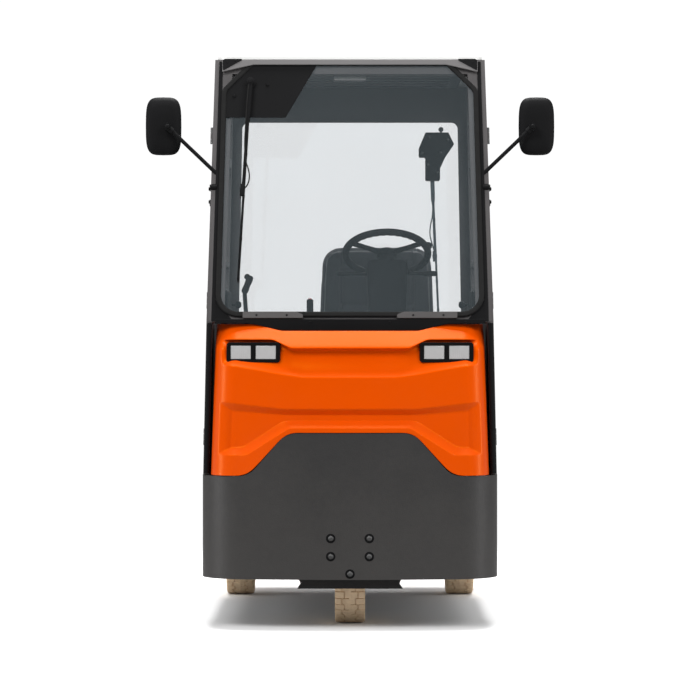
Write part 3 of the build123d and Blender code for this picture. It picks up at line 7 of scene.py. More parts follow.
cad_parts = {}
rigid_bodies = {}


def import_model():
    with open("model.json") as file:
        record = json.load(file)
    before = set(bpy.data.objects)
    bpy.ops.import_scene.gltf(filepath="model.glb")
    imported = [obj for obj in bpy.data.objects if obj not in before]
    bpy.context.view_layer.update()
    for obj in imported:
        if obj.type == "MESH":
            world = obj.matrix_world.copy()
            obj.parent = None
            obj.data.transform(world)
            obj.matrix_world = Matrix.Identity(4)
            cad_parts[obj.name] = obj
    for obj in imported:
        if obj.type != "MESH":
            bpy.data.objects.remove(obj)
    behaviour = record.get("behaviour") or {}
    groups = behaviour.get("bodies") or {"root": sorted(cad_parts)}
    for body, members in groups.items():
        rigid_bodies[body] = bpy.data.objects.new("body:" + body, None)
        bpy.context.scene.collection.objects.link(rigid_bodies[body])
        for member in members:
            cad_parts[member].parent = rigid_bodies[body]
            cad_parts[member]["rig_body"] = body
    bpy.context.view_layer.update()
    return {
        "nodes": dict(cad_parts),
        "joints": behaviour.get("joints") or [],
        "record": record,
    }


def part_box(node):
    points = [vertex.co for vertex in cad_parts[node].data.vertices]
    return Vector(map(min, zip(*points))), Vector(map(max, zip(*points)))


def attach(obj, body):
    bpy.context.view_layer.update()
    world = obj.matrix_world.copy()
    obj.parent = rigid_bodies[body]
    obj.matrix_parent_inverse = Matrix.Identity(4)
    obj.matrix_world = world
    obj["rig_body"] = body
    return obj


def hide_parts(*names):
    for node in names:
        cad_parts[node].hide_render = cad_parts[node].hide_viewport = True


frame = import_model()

bl_info = {
    "name": "Baggage tug",
    "version": (1, 0, 0),
    "blender": (4, 5, 0),
    "location": "View3D > Sidebar > Tug",
    "description": "Dresses a three-wheel baggage tug with a closed cab around its solid model",
    "category": "Object",
}

NODES = frame["nodes"]
RECORD = frame["record"]
JOINTS = {joint["name"]: joint for joint in frame["joints"]}
SLOT_OF = {part["node"]: part["material_slot"] for part in RECORD["subparts"]}
SLOTS = {entry["slot"] for entry in RECORD["materials"]}
FRONT, BACK, UP = Vector((0, -1, 0)), Vector((0, 1, 0)), Vector((0, 0, 1))
SCREEN_PIVOT = Vector(JOINTS["front_wiper_sweep"]["pos_m"])
SCREEN_WAY = Vector(JOINTS["front_wiper_sweep"]["axis"])
SIDES = (-1, 1)
WELD = 1e-6  # points closer than this are one point


# ---------------------------------------------------------------- shader tools
class Value:
    """A shader socket on which Python arithmetic adds Math nodes."""

    def __init__(self, finish, socket):
        self.finish = finish
        self.socket = socket

    def math(self, operation, *terms):
        return self.finish.node("Math", {"operation": operation}, dict(enumerate(terms)))

    def __add__(self, other):
        return self.math("ADD", self, other)

    def __mul__(self, other):
        return self.math("MULTIPLY", self, other)

    def __sub__(self, other):
        return self.math("SUBTRACT", self, other)

    def __rsub__(self, other):
        return self.math("SUBTRACT", other, self)

    def __truediv__(self, other):
        return self.math("DIVIDE", self, other)

    def __pow__(self, other):
        return self.math("POWER", self, other)

    def over(self, edge, soft):
        """0 below the edge, 1 above it, with a soft step."""
        limits = {"Value": self, "From Min": edge - soft, "From Max": edge + soft}
        return self.finish.node("MapRange", {"interpolation_type": "SMOOTHSTEP"}, limits)


class Finish:
    """A procedural material: one method adds any node, the others are its common uses."""

    def __init__(self, name):
        self.material = bpy.data.materials.new(name)
        self.material.use_nodes = True
        self.tree = self.material.node_tree
        self.tree.nodes.clear()
        self.place = self.node("TexCoord", output="Object")

    def node(self, kind, settings=None, inputs=None, output=0):
        node = self.tree.nodes.new("ShaderNode" + kind)
        for name, setting in (settings or {}).items():
            setattr(node, name, setting)
        for key, value in (inputs or {}).items():
            socket = node.inputs[key]
            if isinstance(value, Value):
                self.tree.links.new(value.socket, socket)
            else:
                socket.default_value = value
        return Value(self, node.outputs[output]) if node.outputs else node

    def stretched(self, *scale):
        return self.node("Mapping", None, {"Vector": self.place, "Scale": scale})

    def noise(self, scale, detail=2, roughness=0.5, place=None):
        inputs = {"Scale": scale, "Detail": detail, "Roughness": roughness}
        return self.node("TexNoise", None, {"Vector": place or self.place, **inputs})

    def cells(self, scale, feature="F1"):
        inputs = {"Vector": self.place, "Scale": scale}
        return self.node("TexVoronoi", {"feature": feature}, inputs, "Distance")

    def bands(self, axis, scale, **inputs):
        inputs = {"Vector": self.place, "Scale": scale, **inputs}
        return self.node("TexWave", {"wave_type": "BANDS", "bands_direction": axis}, inputs)

    def along(self, axis):
        return self.node("SeparateXYZ", None, {"Vector": self.place}, axis)

    def mix(self, first, second, factor):
        settings = {"data_type": "RGBA", "clamp_factor": True}
        first, second = (each if isinstance(each, Value) else (*each, 1) for each in (first, second))
        return self.node("Mix", settings, {"Factor": factor, 6: first, 7: second}, 2)

    def tones(self, colour, dark, light, factor):
        """One colour clouded between a darker and a lighter tone of it."""
        return self.mix(tint(colour, dark), tint(colour, light), factor)

    def bump(self, height, distance):
        return self.node("Bump", None, {"Height": height, "Distance": distance, "Strength": 1.0})

    def shade(self, colour, roughness, **sockets):
        """Closes the material with one Principled shader."""
        inputs = {name.replace("_", " "): value for name, value in sockets.items()}
        shader = self.node("BsdfPrincipled", None, {"Base Color": colour, "Roughness": roughness, **inputs})
        self.node("OutputMaterial", None, {"Surface": shader})
        return self.material


def tint(colour, factor):
    """A colour made lighter or darker."""
    return tuple(min(1.0, part * factor) for part in colour)


DUST = (0.30, 0.27, 0.235)


def dusty(finish, colour, low, high, most):
    """Road dust that gathers towards the floor, broken up by two noises."""
    reach = (high - finish.along("Z")) / (high - low)
    cloud = finish.noise(5, 3, 0.6) * 0.8 + finish.noise(60, 3, 0.6) * 0.5
    mask = (reach + cloud - 0.65).over(0.5, 0.5) * most
    return finish.mix(colour, DUST, mask), mask


def enamel(name, colour, coat, roughness, dust=0.14, glint=(1, 1, 1), gloss=0.12):
    """Glossy sprayed paint with orange peel, faint clouding and a little dust low down."""
    finish = Finish(name)
    shade = finish.tones(colour, 0.93, 1.06, finish.noise(2.3, 3))
    dusted, mask = dusty(finish, shade, 0.15, 1.0, dust)
    wipe = finish.noise(9, 4, 0.6, finish.stretched(1, 1, 3))
    return finish.shade(
        dusted,
        (wipe - 0.5) * 0.10 + roughness + mask * 0.5,
        Normal=finish.bump(finish.noise(260, 1, 0.4), 0.00012),
        Coat_Weight=(1 - mask * 3) * coat,
        Coat_Roughness=0.08,
        Specular_IOR_Level=gloss,
        Specular_Tint=(*glint, 1),
    )


def powder(name, colour, roughness, grain=0.00022, scale=700, dust=0.2, top=0.9):
    """Textured powder coat: a fine leathery grain, dulled and dusty near the floor."""
    finish = Finish(name)
    grit, lump = finish.noise(scale, 2, 0.6), finish.cells(scale * 0.45, "SMOOTH_F1")
    shade = finish.tones(colour, 0.82, 1.22, finish.noise(3.1, 4, 0.6) * 0.7 + grit * 0.3)
    dusted, mask = dusty(finish, shade, 0.1, top, dust)
    rub = finish.noise(14, 4, 0.7, finish.stretched(1, 1, 2.5))
    relief = finish.bump(grit * 0.5 + lump * 0.7, grain)
    rough = (rub - 0.5) * 0.16 + roughness + mask * 0.4
    return finish.shade(dusted, rough, Normal=relief, Specular_IOR_Level=0.3)


def moulded(name, colour, roughness, grain=0.00018, depth=1.0):
    """Grained moulded plastic."""
    finish = Finish(name)
    pebbles = 520
    relief = finish.cells(pebbles, "SMOOTH_F1") + finish.noise(pebbles * 1.7, 1) * 0.3
    shade = finish.tones(tint(colour, depth), 0.85, 1.2, finish.noise(6, 3))
    rough = (finish.noise(24, 3) - 0.5) * 0.12 + roughness
    return finish.shade(shade, rough, Normal=finish.bump(relief, grain), Specular_IOR_Level=0.05)


def rubber(name, colour):
    """Black extruded rubber with a bloom of paler wear."""
    finish = Finish(name)
    bloom = finish.noise(30, 4, 0.7)
    shade = finish.tones(colour, 0.8, 1.6, bloom)
    relief = finish.bump(finish.noise(900, 2), 0.00008)
    return finish.shade(shade, (bloom - 0.5) * 0.2 + 0.68, Normal=relief, Specular_IOR_Level=0.07)


def metal(name, colour, roughness=0.32):
    """Plated or machined steel with fine drawn streaks and a little tarnish."""
    finish = Finish(name)
    drawn = finish.noise(1, 2, 0.5, finish.stretched(300, 12, 12))
    stain = finish.noise(40, 4, 0.6)
    shade = finish.tones(colour, 0.72, 1.15, stain * 0.7 + drawn * 0.3)
    rough = (drawn - 0.5) * 0.14 + roughness + (stain - 0.5) * 0.12
    return finish.shade(shade, rough, Metallic=0.92, Normal=finish.bump(drawn, 0.00004))


def tyre_rubber(name, colour):
    """Non-marking beige rubber, scuffed darker on its tread and flecked with dust."""
    finish = Finish(name)
    cloud = finish.noise(11, 4, 0.65)
    scuff = finish.noise(70, 4, 0.7, finish.stretched(0.35, 1, 1))
    shade = finish.tones(colour, 0.84, 1.10, cloud)
    shade = finish.mix(shade, tint(colour, 0.60), (scuff - 0.25).over(0.36, 0.16) * 0.40)
    shade = finish.mix(shade, tint(colour, 0.45), (0.16 - finish.cells(330)).over(0, 0.08) * 0.35)
    relief = finish.bump(finish.noise(420, 3, 0.7) + scuff * 0.5, 0.0003)
    return finish.shade(shade, (cloud - 0.5) * 0.16 + 0.80, Normal=relief, Specular_IOR_Level=0.3)


def cloth(name, colour):
    """Woven seat cloth: crossing yarns, faint pilling and sheen."""
    finish = Finish(name)
    pitch = 900.0
    weave = {"Distortion": 0.6, "Detail Scale": 4.0}
    warp, weft = (finish.bands(axis, pitch / 6.0, **weave) for axis in "XZ")
    yarn = finish.noise(pitch * 0.6, 2)
    shade = finish.tones(colour, 0.72, 1.5, yarn * 0.5 + finish.noise(7, 4, 0.6) * 0.5)
    relief = finish.bump(warp * weft + yarn * 0.4, 0.0005)
    sheen = {"Sheen_Weight": 0.35, "Sheen_Roughness": 0.5, "Specular_IOR_Level": 0.25}
    return finish.shade(shade, 0.92, Normal=relief, **sheen)


def glazing(name, colour):
    """Window glass: clear with a thin gloss, so that what is behind stays sharp."""
    finish = Finish(name)
    smear = finish.noise(4, 4, 0.65, finish.stretched(1, 1, 0.5))
    clear = finish.node("BsdfTransparent", None, {"Color": (*colour, 1)})
    mirror = {"Base Color": (0.76, 0.92, 1.0, 1), "Roughness": smear * 0.03 + 0.02, "Metallic": 1.0}
    gloss = finish.node("BsdfPrincipled", None, mirror)
    glance = finish.node("LayerWeight", None, {"Blend": 0.5}, "Facing") ** 4 * 0.55 + 0.092
    shine = finish.node("MixShader", None, {0: glance + smear * 0.012, 1: clear, 2: gloss})
    finish.node("OutputMaterial", None, {"Surface": shine})
    return finish.material


def lens(name, colour, flutes=260.0):
    """Moulded lamp lens with fine upright flutes."""
    finish = Finish(name)
    cloud = finish.noise(50, 2)
    relief = finish.bump(finish.bands("X", flutes / 6.0), 0.00015)
    shade = finish.tones(colour, 0.94, 1.05, cloud)
    return finish.shade(shade, cloud * 0.08 + 0.16, Normal=relief, Coat_Weight=0.6, Coat_Roughness=0.04)


def looking_glass(name, colour, smeared):
    """Silvered mirror with faint smears."""
    finish = Finish(name)
    smear = finish.noise(25, 4)
    shade = finish.mix(colour, smeared, smear)
    return finish.shade(shade, smear * 0.03 + 0.03, Metallic=1.0)


def floor_paint(name, colour, bounce):
    """Plain pale studio floor that throws little light back up and fades into the backdrop."""
    finish = Finish(name)
    seen = finish.node("LightPath", output="Is Camera Ray")
    shade = finish.mix(tint(colour, bounce), colour, seen)
    across, along = finish.along("X"), finish.along("Y")
    reach = (across * across + along * along) ** 0.5
    rough = finish.noise(0.6, 2) * 0.05 + 0.8
    return finish.shade(shade, rough, Specular_IOR_Level=0.05, Alpha=1 - reach.over(2.6, 0.9))


# ---------------------------------------------------------------- mesh tools
def corners(node):
    """Lowest and highest corner of a solid node."""
    return [Vector(corner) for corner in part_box(node)]


def kind(items, sort):
    """The items of one sort: vertices, edges or faces."""
    return [item for item in items if isinstance(item, sort)]


def finished(name, mesh, finish, node, whole=False, bevel=0, smooth=40, segments=2, slot=None):
    """Turns a bmesh into a piece that rides with a solid node, and stands for it when whole."""
    bmesh.ops.remove_doubles(mesh, verts=mesh.verts, dist=WELD)
    bmesh.ops.recalc_face_normals(mesh, faces=mesh.faces)
    data = bpy.data.meshes.new(name)
    if smooth:
        smooth_by_angle(mesh, smooth)
    mesh.to_mesh(data)
    mesh.free()
    piece = bpy.data.objects.new(name, data)
    bpy.context.scene.collection.objects.link(piece)
    data.materials.append(material(finish))
    if bevel:
        modifier = piece.modifiers.new("rounded edges", "BEVEL")
        modifier.width = bevel
        modifier.segments = segments
        modifier.limit_method = "ANGLE"
        modifier.angle_limit = radians(smooth)
        modifier.miter_outer = "MITER_ARC"
    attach(piece, NODES[node]["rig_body"])
    (slot or finish) in SLOTS
    if whole:
        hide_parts(node)
    return piece


def smooth_by_angle(mesh, angle):
    """Smooth shading with sharp edges kept past an angle."""
    for face in mesh.faces:
        face.smooth = True
    for edge in mesh.edges:
        edge.smooth = len(edge.link_faces) == 2 and edge.calc_face_angle(0) < radians(angle)


def softened(mesh, edges, radius, segments):
    """Rounds edges of a mesh."""
    bmesh.ops.bevel(
        mesh,
        geom=edges,
        offset=radius,
        offset_type="OFFSET",
        affect="EDGES",
        segments=segments,
        profile=0.5,
        material=-1,
        clamp_overlap=True,
    )


def soft_block(mesh, low, high, radius, segments=3):
    """Adds a box between two corners, with rounded edges."""
    low, high = Vector(low), Vector(high)
    matrix = Matrix.Translation((low + high) / 2) @ Matrix.Diagonal((*(high - low), 1))
    verts = bmesh.ops.create_cube(mesh, size=1, matrix=matrix)["verts"]
    softened(mesh, list({edge for vert in verts for edge in vert.link_edges}), radius, segments)


def aimed(place, way):
    """Matrix that stands local Z along a direction at a place."""
    return Matrix.Translation(place) @ Vector(way).to_track_quat("Z", "Y").to_matrix().to_4x4()


def rod(mesh, start, end, radius, end_radius=None, sides=20):
    """Adds a round bar or cone between two points."""
    start, end = Vector(start), Vector(end)
    bmesh.ops.create_cone(
        mesh,
        cap_ends=True,
        segments=sides,
        radius1=radius,
        radius2=end_radius or radius,
        depth=(end - start).length,
        matrix=aimed((start + end) / 2, end - start),
    )


def ball(mesh, place, radius):
    """Adds a small ball."""
    at = Matrix.Translation(place)
    bmesh.ops.create_uvsphere(mesh, u_segments=24, v_segments=14, radius=radius, matrix=at)


def turned(mesh, profile, place, way, sides=32):
    """Adds a turned form: a profile of (radius, height along the axis) spun round it."""
    verts = [mesh.verts.new((radius, 0, height)) for radius, height in profile]
    edges = [mesh.edges.new(pair) for pair in zip(verts, verts[1:])]
    around = {"cent": (0, 0, 0), "axis": UP, "angle": 2 * pi, "steps": sides, "use_merge": True}
    spun = bmesh.ops.spin(mesh, geom=verts + edges, **around)
    fresh = {*verts, *kind(spun["geom_last"], bmesh.types.BMVert)}
    grown = set(fresh)
    while fresh:
        fresh = {other for vert in fresh for edge in vert.link_edges for other in edge.verts} - grown
        grown |= fresh
    bmesh.ops.remove_doubles(mesh, verts=list(grown), dist=WELD)
    grown = [vert for vert in grown if vert.is_valid]
    bmesh.ops.transform(mesh, matrix=aimed(place, way), verts=grown)


def plate(mesh, outline, low, high, matrix=None):
    """Adds a plate: a closed outline of local (x, y) points, thick between two local heights."""
    verts = [mesh.verts.new((x, y, low)) for x, y in outline]
    pushed = bmesh.ops.extrude_face_region(mesh, geom=[mesh.faces.new(verts)])["geom"]
    far = kind(pushed, bmesh.types.BMVert)
    bmesh.ops.translate(mesh, verts=far, vec=(0, 0, high - low))
    bmesh.ops.transform(mesh, matrix=matrix or Matrix(), verts=verts + far)


def skin(mesh, rings):
    """Joins rings of vertices into a closed tube with an end face on each."""
    count = len(rings[0])
    for first, second in zip(rings, rings[1:]):
        for i in range(count):
            mesh.faces.new((first[i], second[i], second[(i + 1) % count], first[(i + 1) % count]))
    mesh.faces.new(rings[0][::-1])
    mesh.faces.new(rings[-1])


def rounded(points, steps=6):
    """Outline with rounded corners from (x, y, radius) points, counter-clockwise."""
    outline = []
    for i, (x, y, radius) in enumerate(points):
        if radius <= 0:
            outline.append((x, y))
            continue
        corner = Vector((x, y))
        back = (Vector(points[i - 1][:2]) - corner).normalized()
        ahead = (Vector(points[(i + 1) % len(points)][:2]) - corner).normalized()
        half = back.angle(ahead) / 2
        centre = corner + (back + ahead).normalized() * (radius / sin(half))
        first = corner + back * radius / tan(half) - centre
        last = corner + ahead * radius / tan(half) - centre
        sweep = -first.angle_signed(last)
        for k in range(steps + 1):
            angle = atan2(first.y, first.x) + sweep * k / steps
            outline.append((centre.x + radius * cos(angle), centre.y + radius * sin(angle)))
    return outline


def swept(path, radius, closed=False, sides=12):
    """Mesh of a round tube that follows a smooth line through control points."""
    curve = bpy.data.curves.new("line", "CURVE")
    curve.dimensions = "3D"
    spline = curve.splines.new("NURBS")
    spline.points.add(len(path) - 1)
    for point, place in zip(spline.points, path):
        point.co = (*place, 1)
    spline.order_u = 3
    spline.use_endpoint_u = not closed
    spline.use_cyclic_u = closed
    spline.resolution_u = 8
    curve.bevel_depth = radius
    curve.bevel_resolution = max(1, sides // 4 - 1)
    curve.use_fill_caps = not closed
    holder = bpy.data.objects.new("line", curve)
    bpy.context.scene.collection.objects.link(holder)
    data = baked(holder)
    mesh = bmesh.new()
    mesh.from_mesh(data)
    bpy.data.objects.remove(holder)
    bpy.data.curves.remove(curve)
    bpy.data.meshes.remove(data)
    return mesh


def baked(piece):
    """The piece's mesh with its modifiers applied."""
    bpy.context.view_layer.update()
    depsgraph = bpy.context.evaluated_depsgraph_get()
    return bpy.data.meshes.new_from_object(piece.evaluated_get(depsgraph))


def joined(whole, other):
    """Adds one bmesh to another."""
    data = bpy.data.meshes.new("part")
    other.to_mesh(data)
    whole.from_mesh(data)
    other.free()
    bpy.data.meshes.remove(data)
    return whole


def copied(node):
    """Merged copy of a solid node's mesh with its flat faces joined up."""
    mesh = bmesh.new()
    mesh.from_mesh(NODES[node].data)
    bmesh.ops.remove_doubles(mesh, verts=mesh.verts, dist=2 * WELD)
    limits = {"angle_limit": radians(0.6), "delimit": {"NORMAL"}}
    bmesh.ops.dissolve_limit(mesh, verts=mesh.verts, edges=mesh.edges, **limits)
    return mesh


def mirrored(mesh):
    """Adds the twin of everything in the mesh on the other side of the vehicle."""
    whole = mesh.verts[:] + mesh.edges[:] + mesh.faces[:]
    twin = bmesh.ops.duplicate(mesh, geom=whole)["geom"]
    bmesh.ops.scale(mesh, vec=(-1, 1, 1), verts=kind(twin, bmesh.types.BMVert))
    bmesh.ops.reverse_faces(mesh, faces=kind(twin, bmesh.types.BMFace))
    return mesh


def sided(points, side):
    """An outline carried over to a side (1 or -1), still counter-clockwise."""
    points = [(side * x, *rest) for x, *rest in points]
    return points if side > 0 else points[::-1]


def facing(place, outward):
    """Matrix on a face: local X runs aside, Y up the face and Z outwards."""
    outward = Vector(outward).normalized()
    aside = UP.cross(outward).normalized()
    basis = Matrix((aside, outward.cross(aside), outward)).transposed()
    return Matrix.Translation(place) @ basis.to_4x4()


def on_screen(x, z, out=0.0):
    """Point over the windscreen's plane."""
    y = SCREEN_PIVOT.y - SCREEN_WAY.z / SCREEN_WAY.y * (z - SCREEN_PIVOT.z)
    return Vector((x, y, z)) + SCREEN_WAY * out


def blocks_on(mesh, matrix, *blocks):
    """Adds rounded boxes (low, high, radius, segments) in the frame of a face."""
    for block in blocks:
        part = bmesh.new()
        soft_block(part, *block)
        bmesh.ops.transform(part, matrix=matrix, verts=part.verts)
        joined(mesh, part)


def dome(mesh, place, way, radius, height):
    """Adds a low domed screw head."""
    profile = ((0, 1), (0.6, 0.92), (0.9, 0.6), (1, 0))
    profile = [(radius * x, height * z) for x, z in profile] + [(radius, -0.003)]
    turned(mesh, profile, place, way, 20)


def nut(mesh, place, way, radius, height):
    """Adds a hexagon nut on its washer."""
    head = ((0, height), (radius * 0.84, height), (radius, height * 0.8), (radius, 0.001))
    washer = ((0, 0.0016), (radius * 1.25, 0.0016), (radius * 1.3, 0), (radius * 1.3, -0.002))
    turned(mesh, head, place, way, 6)
    turned(mesh, washer, place, way, 24)


# ---------------------------------------------------------------- sizes and colours
def colour_of(name, description, value):
    options = {"subtype": "COLOR", "size": 3, "min": 0, "max": 1, "default": value}
    return bpy.props.FloatVectorProperty(name=name, description=description, **options)


def length_of(name, description, value):
    options = {"unit": "LENGTH", "subtype": "DISTANCE", "precision": 4, "default": value}
    return bpy.props.FloatProperty(name=name, description=description, **options)


class TugColours(bpy.types.PropertyGroup):
    """Colours of the tug's finishes."""

    cowl: colour_of("Cowl", "Glossy enamel of the cowl and the rear body", (0.72, 0.070, 0.0))
    bumper: colour_of("Bumper", "Textured powder coat of the bumper", (0.027, 0.0262, 0.0264))
    cab: colour_of("Cab", "Powder coat of the cab's frame and doors", (0.078, 0.073, 0.074))
    chassis: colour_of("Chassis", "Black powder coat of the chassis", (0.006, 0.006, 0.0065))
    roof: colour_of("Roof", "Pale paint of the roof", (0.80, 0.80, 0.79))
    header: colour_of("Header", "Grey paint of the band over the windscreen", (0.150, 0.145, 0.146))
    rubber: colour_of("Rubber", "Seals and hoses", (0.012, 0.012, 0.012))
    glass: colour_of("Glass", "Tint of the windows", (0.992, 0.995, 0.998))
    plastic: colour_of("Plastic", "Grained black plastic", (0.008, 0.008, 0.0085))
    trim: colour_of("Trim", "Dark grey trim plastic inside the cab", (0.060, 0.064, 0.068))
    tyre: colour_of("Tyre", "Non-marking tyre rubber", (0.98, 0.71, 0.47))
    rim: colour_of("Rim", "Paint of the wheel rims", (0.50, 0.49, 0.48))
    seat: colour_of("Seat", "Cloth of the seat", (0.038, 0.040, 0.044))


class TugSizes(bpy.types.PropertyGroup):
    """Sizes of the pieces that the solid model leaves out."""

    bolt_head: length_of("Bolt head", "Radius of the bumper's bolt heads", 0.0095)
    bolt_ring: length_of("Bolt ring", "Outer radius of the sockets round the bumper's bolts", 0.0165)
    tread_depth: length_of("Tread depth", "Depth of the grooves in the tyres", 0.008)
    tread_blocks: bpy.props.IntProperty(
        name="Tread blocks", description="Blocks round each tyre's edge", default=46, min=12, max=90
    )
    seal_height: length_of("Seal height", "How far the windscreen's seal stands out", 0.012)
    camera_distance: length_of("Camera distance", "From the bumper's face to the camera", 10.43)
    camera_height: length_of("Camera height", "Height of the level camera over the floor", 1.016)


def sizes():
    return bpy.context.scene.tug_sizes


# Finish: (maker, colour of the property group or a fixed one, further terms, named terms).
MAKERS = {
    "cowl_paint": (enamel, "cowl", (0.02, 0.30), {"dust": 0.02, "glint": (1.0, 0.46, 0.0), "gloss": 0.32}),
    "bumper_paint": (powder, "bumper", (0.46, 0.0003, 520), {"dust": 0.045}),
    "cab_paint": (powder, "cab", (0.46, 0.00016, 800), {"dust": 0.1}),
    "chassis_paint": (powder, "chassis", (0.55, 0.00016, 700), {"dust": 0.05, "top": 0.6}),
    "roof_paint": (enamel, "roof", (0.3, 0.35), {}),
    "header_paint": (enamel, "header", (0.2, 0.42), {}),
    "seal_rubber": (rubber, "rubber", (), {}),
    "window_glass": (glazing, "glass", (), {}),
    "black_plastic": (moulded, "plastic", (0.55,), {}),
    "trim_plastic": (moulded, "trim", (0.55,), {}),
    "lamp_plastic": (moulded, "plastic", (0.22, 0.00003), {"depth": 0.8}),
    "lens_plastic": (lens, (0.42, 0.42, 0.42), (), {}),
    "tail_plastic": (lens, (0.40, 0.008, 0.006), (180,), {}),
    "amber_plastic": (lens, (0.62, 0.20, 0.01), (180,), {}),
    "tyre_rubber": (tyre_rubber, "tyre", (), {}),
    "rim_paint": (enamel, "rim", (0.2, 0.4), {"dust": 0.3}),
    "steel": (metal, (0.56, 0.55, 0.53), (), {}),
    "dark_steel": (metal, (0.10, 0.10, 0.10), (0.42,), {}),
    "seat_cover": (cloth, "seat", (), {}),
    "mirror_glass": (looking_glass, (0.80, 0.82, 0.83), ((0.9, 0.91, 0.92),), {}),
    "battery_case": (powder, (0.08, 0.08, 0.085), (0.5,), {}),
    "red_plastic": (moulded, (0.55, 0.012, 0.01), (0.35, 0.00005), {}),
    "grey_plastic": (moulded, (0.085, 0.081, 0.081), (0.45,), {}),
    "floor": (floor_paint, (0.97, 0.97, 0.97), (0.40,), {}),
}
FINISHES = {}


def material(name):
    """The named finish, made when it is first asked for."""
    if name not in FINISHES:
        maker, colour, terms, named = MAKERS[name]
        if isinstance(colour, str):
            colour = getattr(bpy.context.scene.tug_colours, colour)[:]
        FINISHES[name] = maker(name, colour, *terms, **named)
    return FINISHES[name]


# ---------------------------------------------------------------- operators
class TugOperator:
    bl_options = {"REGISTER", "UNDO"}


LIGHTS = (
    # name, place, aimed at, width, height, power
    ("key_light", (-3.2, -6.2, 5.8), (0, -0.5, 0.9), 3.6, 2.6, 320),
    ("fill_light", (3.8, -6.0, 4.8), (0, -0.5, 0.9), 3.0, 3.0, 200),
    ("left_strip", (-4.2, -1.6, 1.3), (0, -0.7, 0.9), 0.9, 3.0, 70),
    ("right_strip", (4.2, -1.6, 1.3), (0, -0.7, 0.9), 0.9, 3.0, 60),
    ("top_light", (0, 0.2, 5.6), (0, 0, 1.0), 3.4, 3.6, 490),
    ("back_light", (1.0, 6.0, 4.2), (0, 0.5, 1.0), 4.0, 2.5, 150),
)
# Brightness of the room on the vehicle, and of the white backdrop to the eye.
ROOM, BACKDROP = 0.31, 1.05


class TUG_OT_stage(TugOperator, bpy.types.Operator):
    """Set the pale floor, the studio lights and the camera"""

    bl_idname = "tug.stage"
    bl_label = "Stage"

    def execute(self, context):
        scene = context.scene
        scene.view_settings.view_transform = "Standard"
        floor = bmesh.new()
        bmesh.ops.create_circle(floor, cap_ends=True, segments=96, radius=60)
        data = bpy.data.meshes.new("studio_floor")
        floor.to_mesh(data)
        floor.free()
        ground = bpy.data.objects.new("studio_floor", data)
        data.materials.append(material("floor"))
        scene.collection.objects.link(ground)

        world = scene.world = bpy.data.worlds.new("studio")
        world.use_nodes = True
        sky = world.node_tree
        sky.nodes["Background"].inputs["Color"].default_value = (1, 1, 1, 1)
        sight = sky.nodes.new("ShaderNodeLightPath")
        strength = sky.nodes.new("ShaderNodeMapRange")
        strength.inputs["To Min"].default_value = ROOM
        strength.inputs["To Max"].default_value = BACKDROP
        sky.links.new(sight.outputs["Is Camera Ray"], strength.inputs["Value"])
        sky.links.new(strength.outputs["Result"], sky.nodes["Background"].inputs["Strength"])
        for name, place, aim, width, height, watts in LIGHTS:
            light = bpy.data.lights.new(name, "AREA")
            light.shape = "RECTANGLE"
            light.size, light.size_y, light.energy = width, height, watts
            lamp = bpy.data.objects.new(name, light)
            lamp.location = place
            way = Vector(aim) - Vector(place)
            lamp.rotation_euler = way.to_track_quat("-Z", "Y").to_euler()
            scene.collection.objects.link(lamp)

        camera = bpy.data.cameras.new("camera")
        camera.sensor_width, camera.lens = 36, 159.1
        camera.shift_y = -0.0286
        camera.clip_end = 200
        eye = scene.camera = bpy.data.objects.new("camera", camera)
        nose = corners("front_bumper")[0].y
        eye.location = (0, nose - sizes().camera_distance, sizes().camera_height)
        eye.rotation_euler = (radians(90), 0, 0)
        scene.collection.objects.link(eye)
        return {"FINISHED"}


class TUG_OT_finishes(TugOperator, bpy.types.Operator):
    """Give every solid piece of the model its finish"""

    bl_idname = "tug.finishes"
    bl_label = "Finishes"

    def execute(self, context):
        for node, slot in SLOT_OF.items():
            data = NODES[node].data
            data.materials.clear()
            data.materials.append(material(slot))
        return {"FINISHED"}


# Rounding of the solid pieces that keep their form: (edge radius, segments) and the nodes.
SOFT_EDGES = {
    (0.0008, 2): ("door_hinges",),
    (0.0015, 2): ("header_panel", "scuttle_panel"),
    (0.002, 2): ("bumper_cross_plate", "chassis_frame", "side_sills", "rear_hood"),
    (0.0025, 2): ("tow_coupling",),
    (0.003, 2): ("steering_fork", "rear_body", "pedals"),
    (0.004, 2): ("drive_axle", "battery_block"),
    (0.004, 3): ("cab_frame", "door_frame_left", "door_frame_right", "door_lining_left", "door_lining_right"),
    (0.0045, 3): ("windscreen_seal",),
    (0.006, 2): ("seat_base",),
    (0.006, 3): ("steering_console",),
    (0.008, 3): ("dashboard",),
}


class TUG_OT_soft_edges(TugOperator, bpy.types.Operator):
    """Round the edges of the solid pieces that keep their form"""

    bl_idname = "tug.soft_edges"
    bl_label = "Rounded solids"

    def execute(self, context):
        for (radius, segments), nodes in SOFT_EDGES.items():
            shape = {"bevel": radius, "smooth": 38, "segments": segments}
            for node in nodes:
                finish = "dark_steel" if node == "door_hinges" else SLOT_OF[node]
                finished(node + "_rounded", copied(node), finish, node, True, slot=SLOT_OF[node], **shape)
        return {"FINISHED"}


def between(points, x):
    """Height of a line of (x, z) points at x."""
    for (x0, z0), (x1, z1) in zip(points, points[1:]):
        if x <= x1:
            return z0 + (z1 - z0) * max(0, x - x0) / (x1 - x0)
    return points[-1][1]


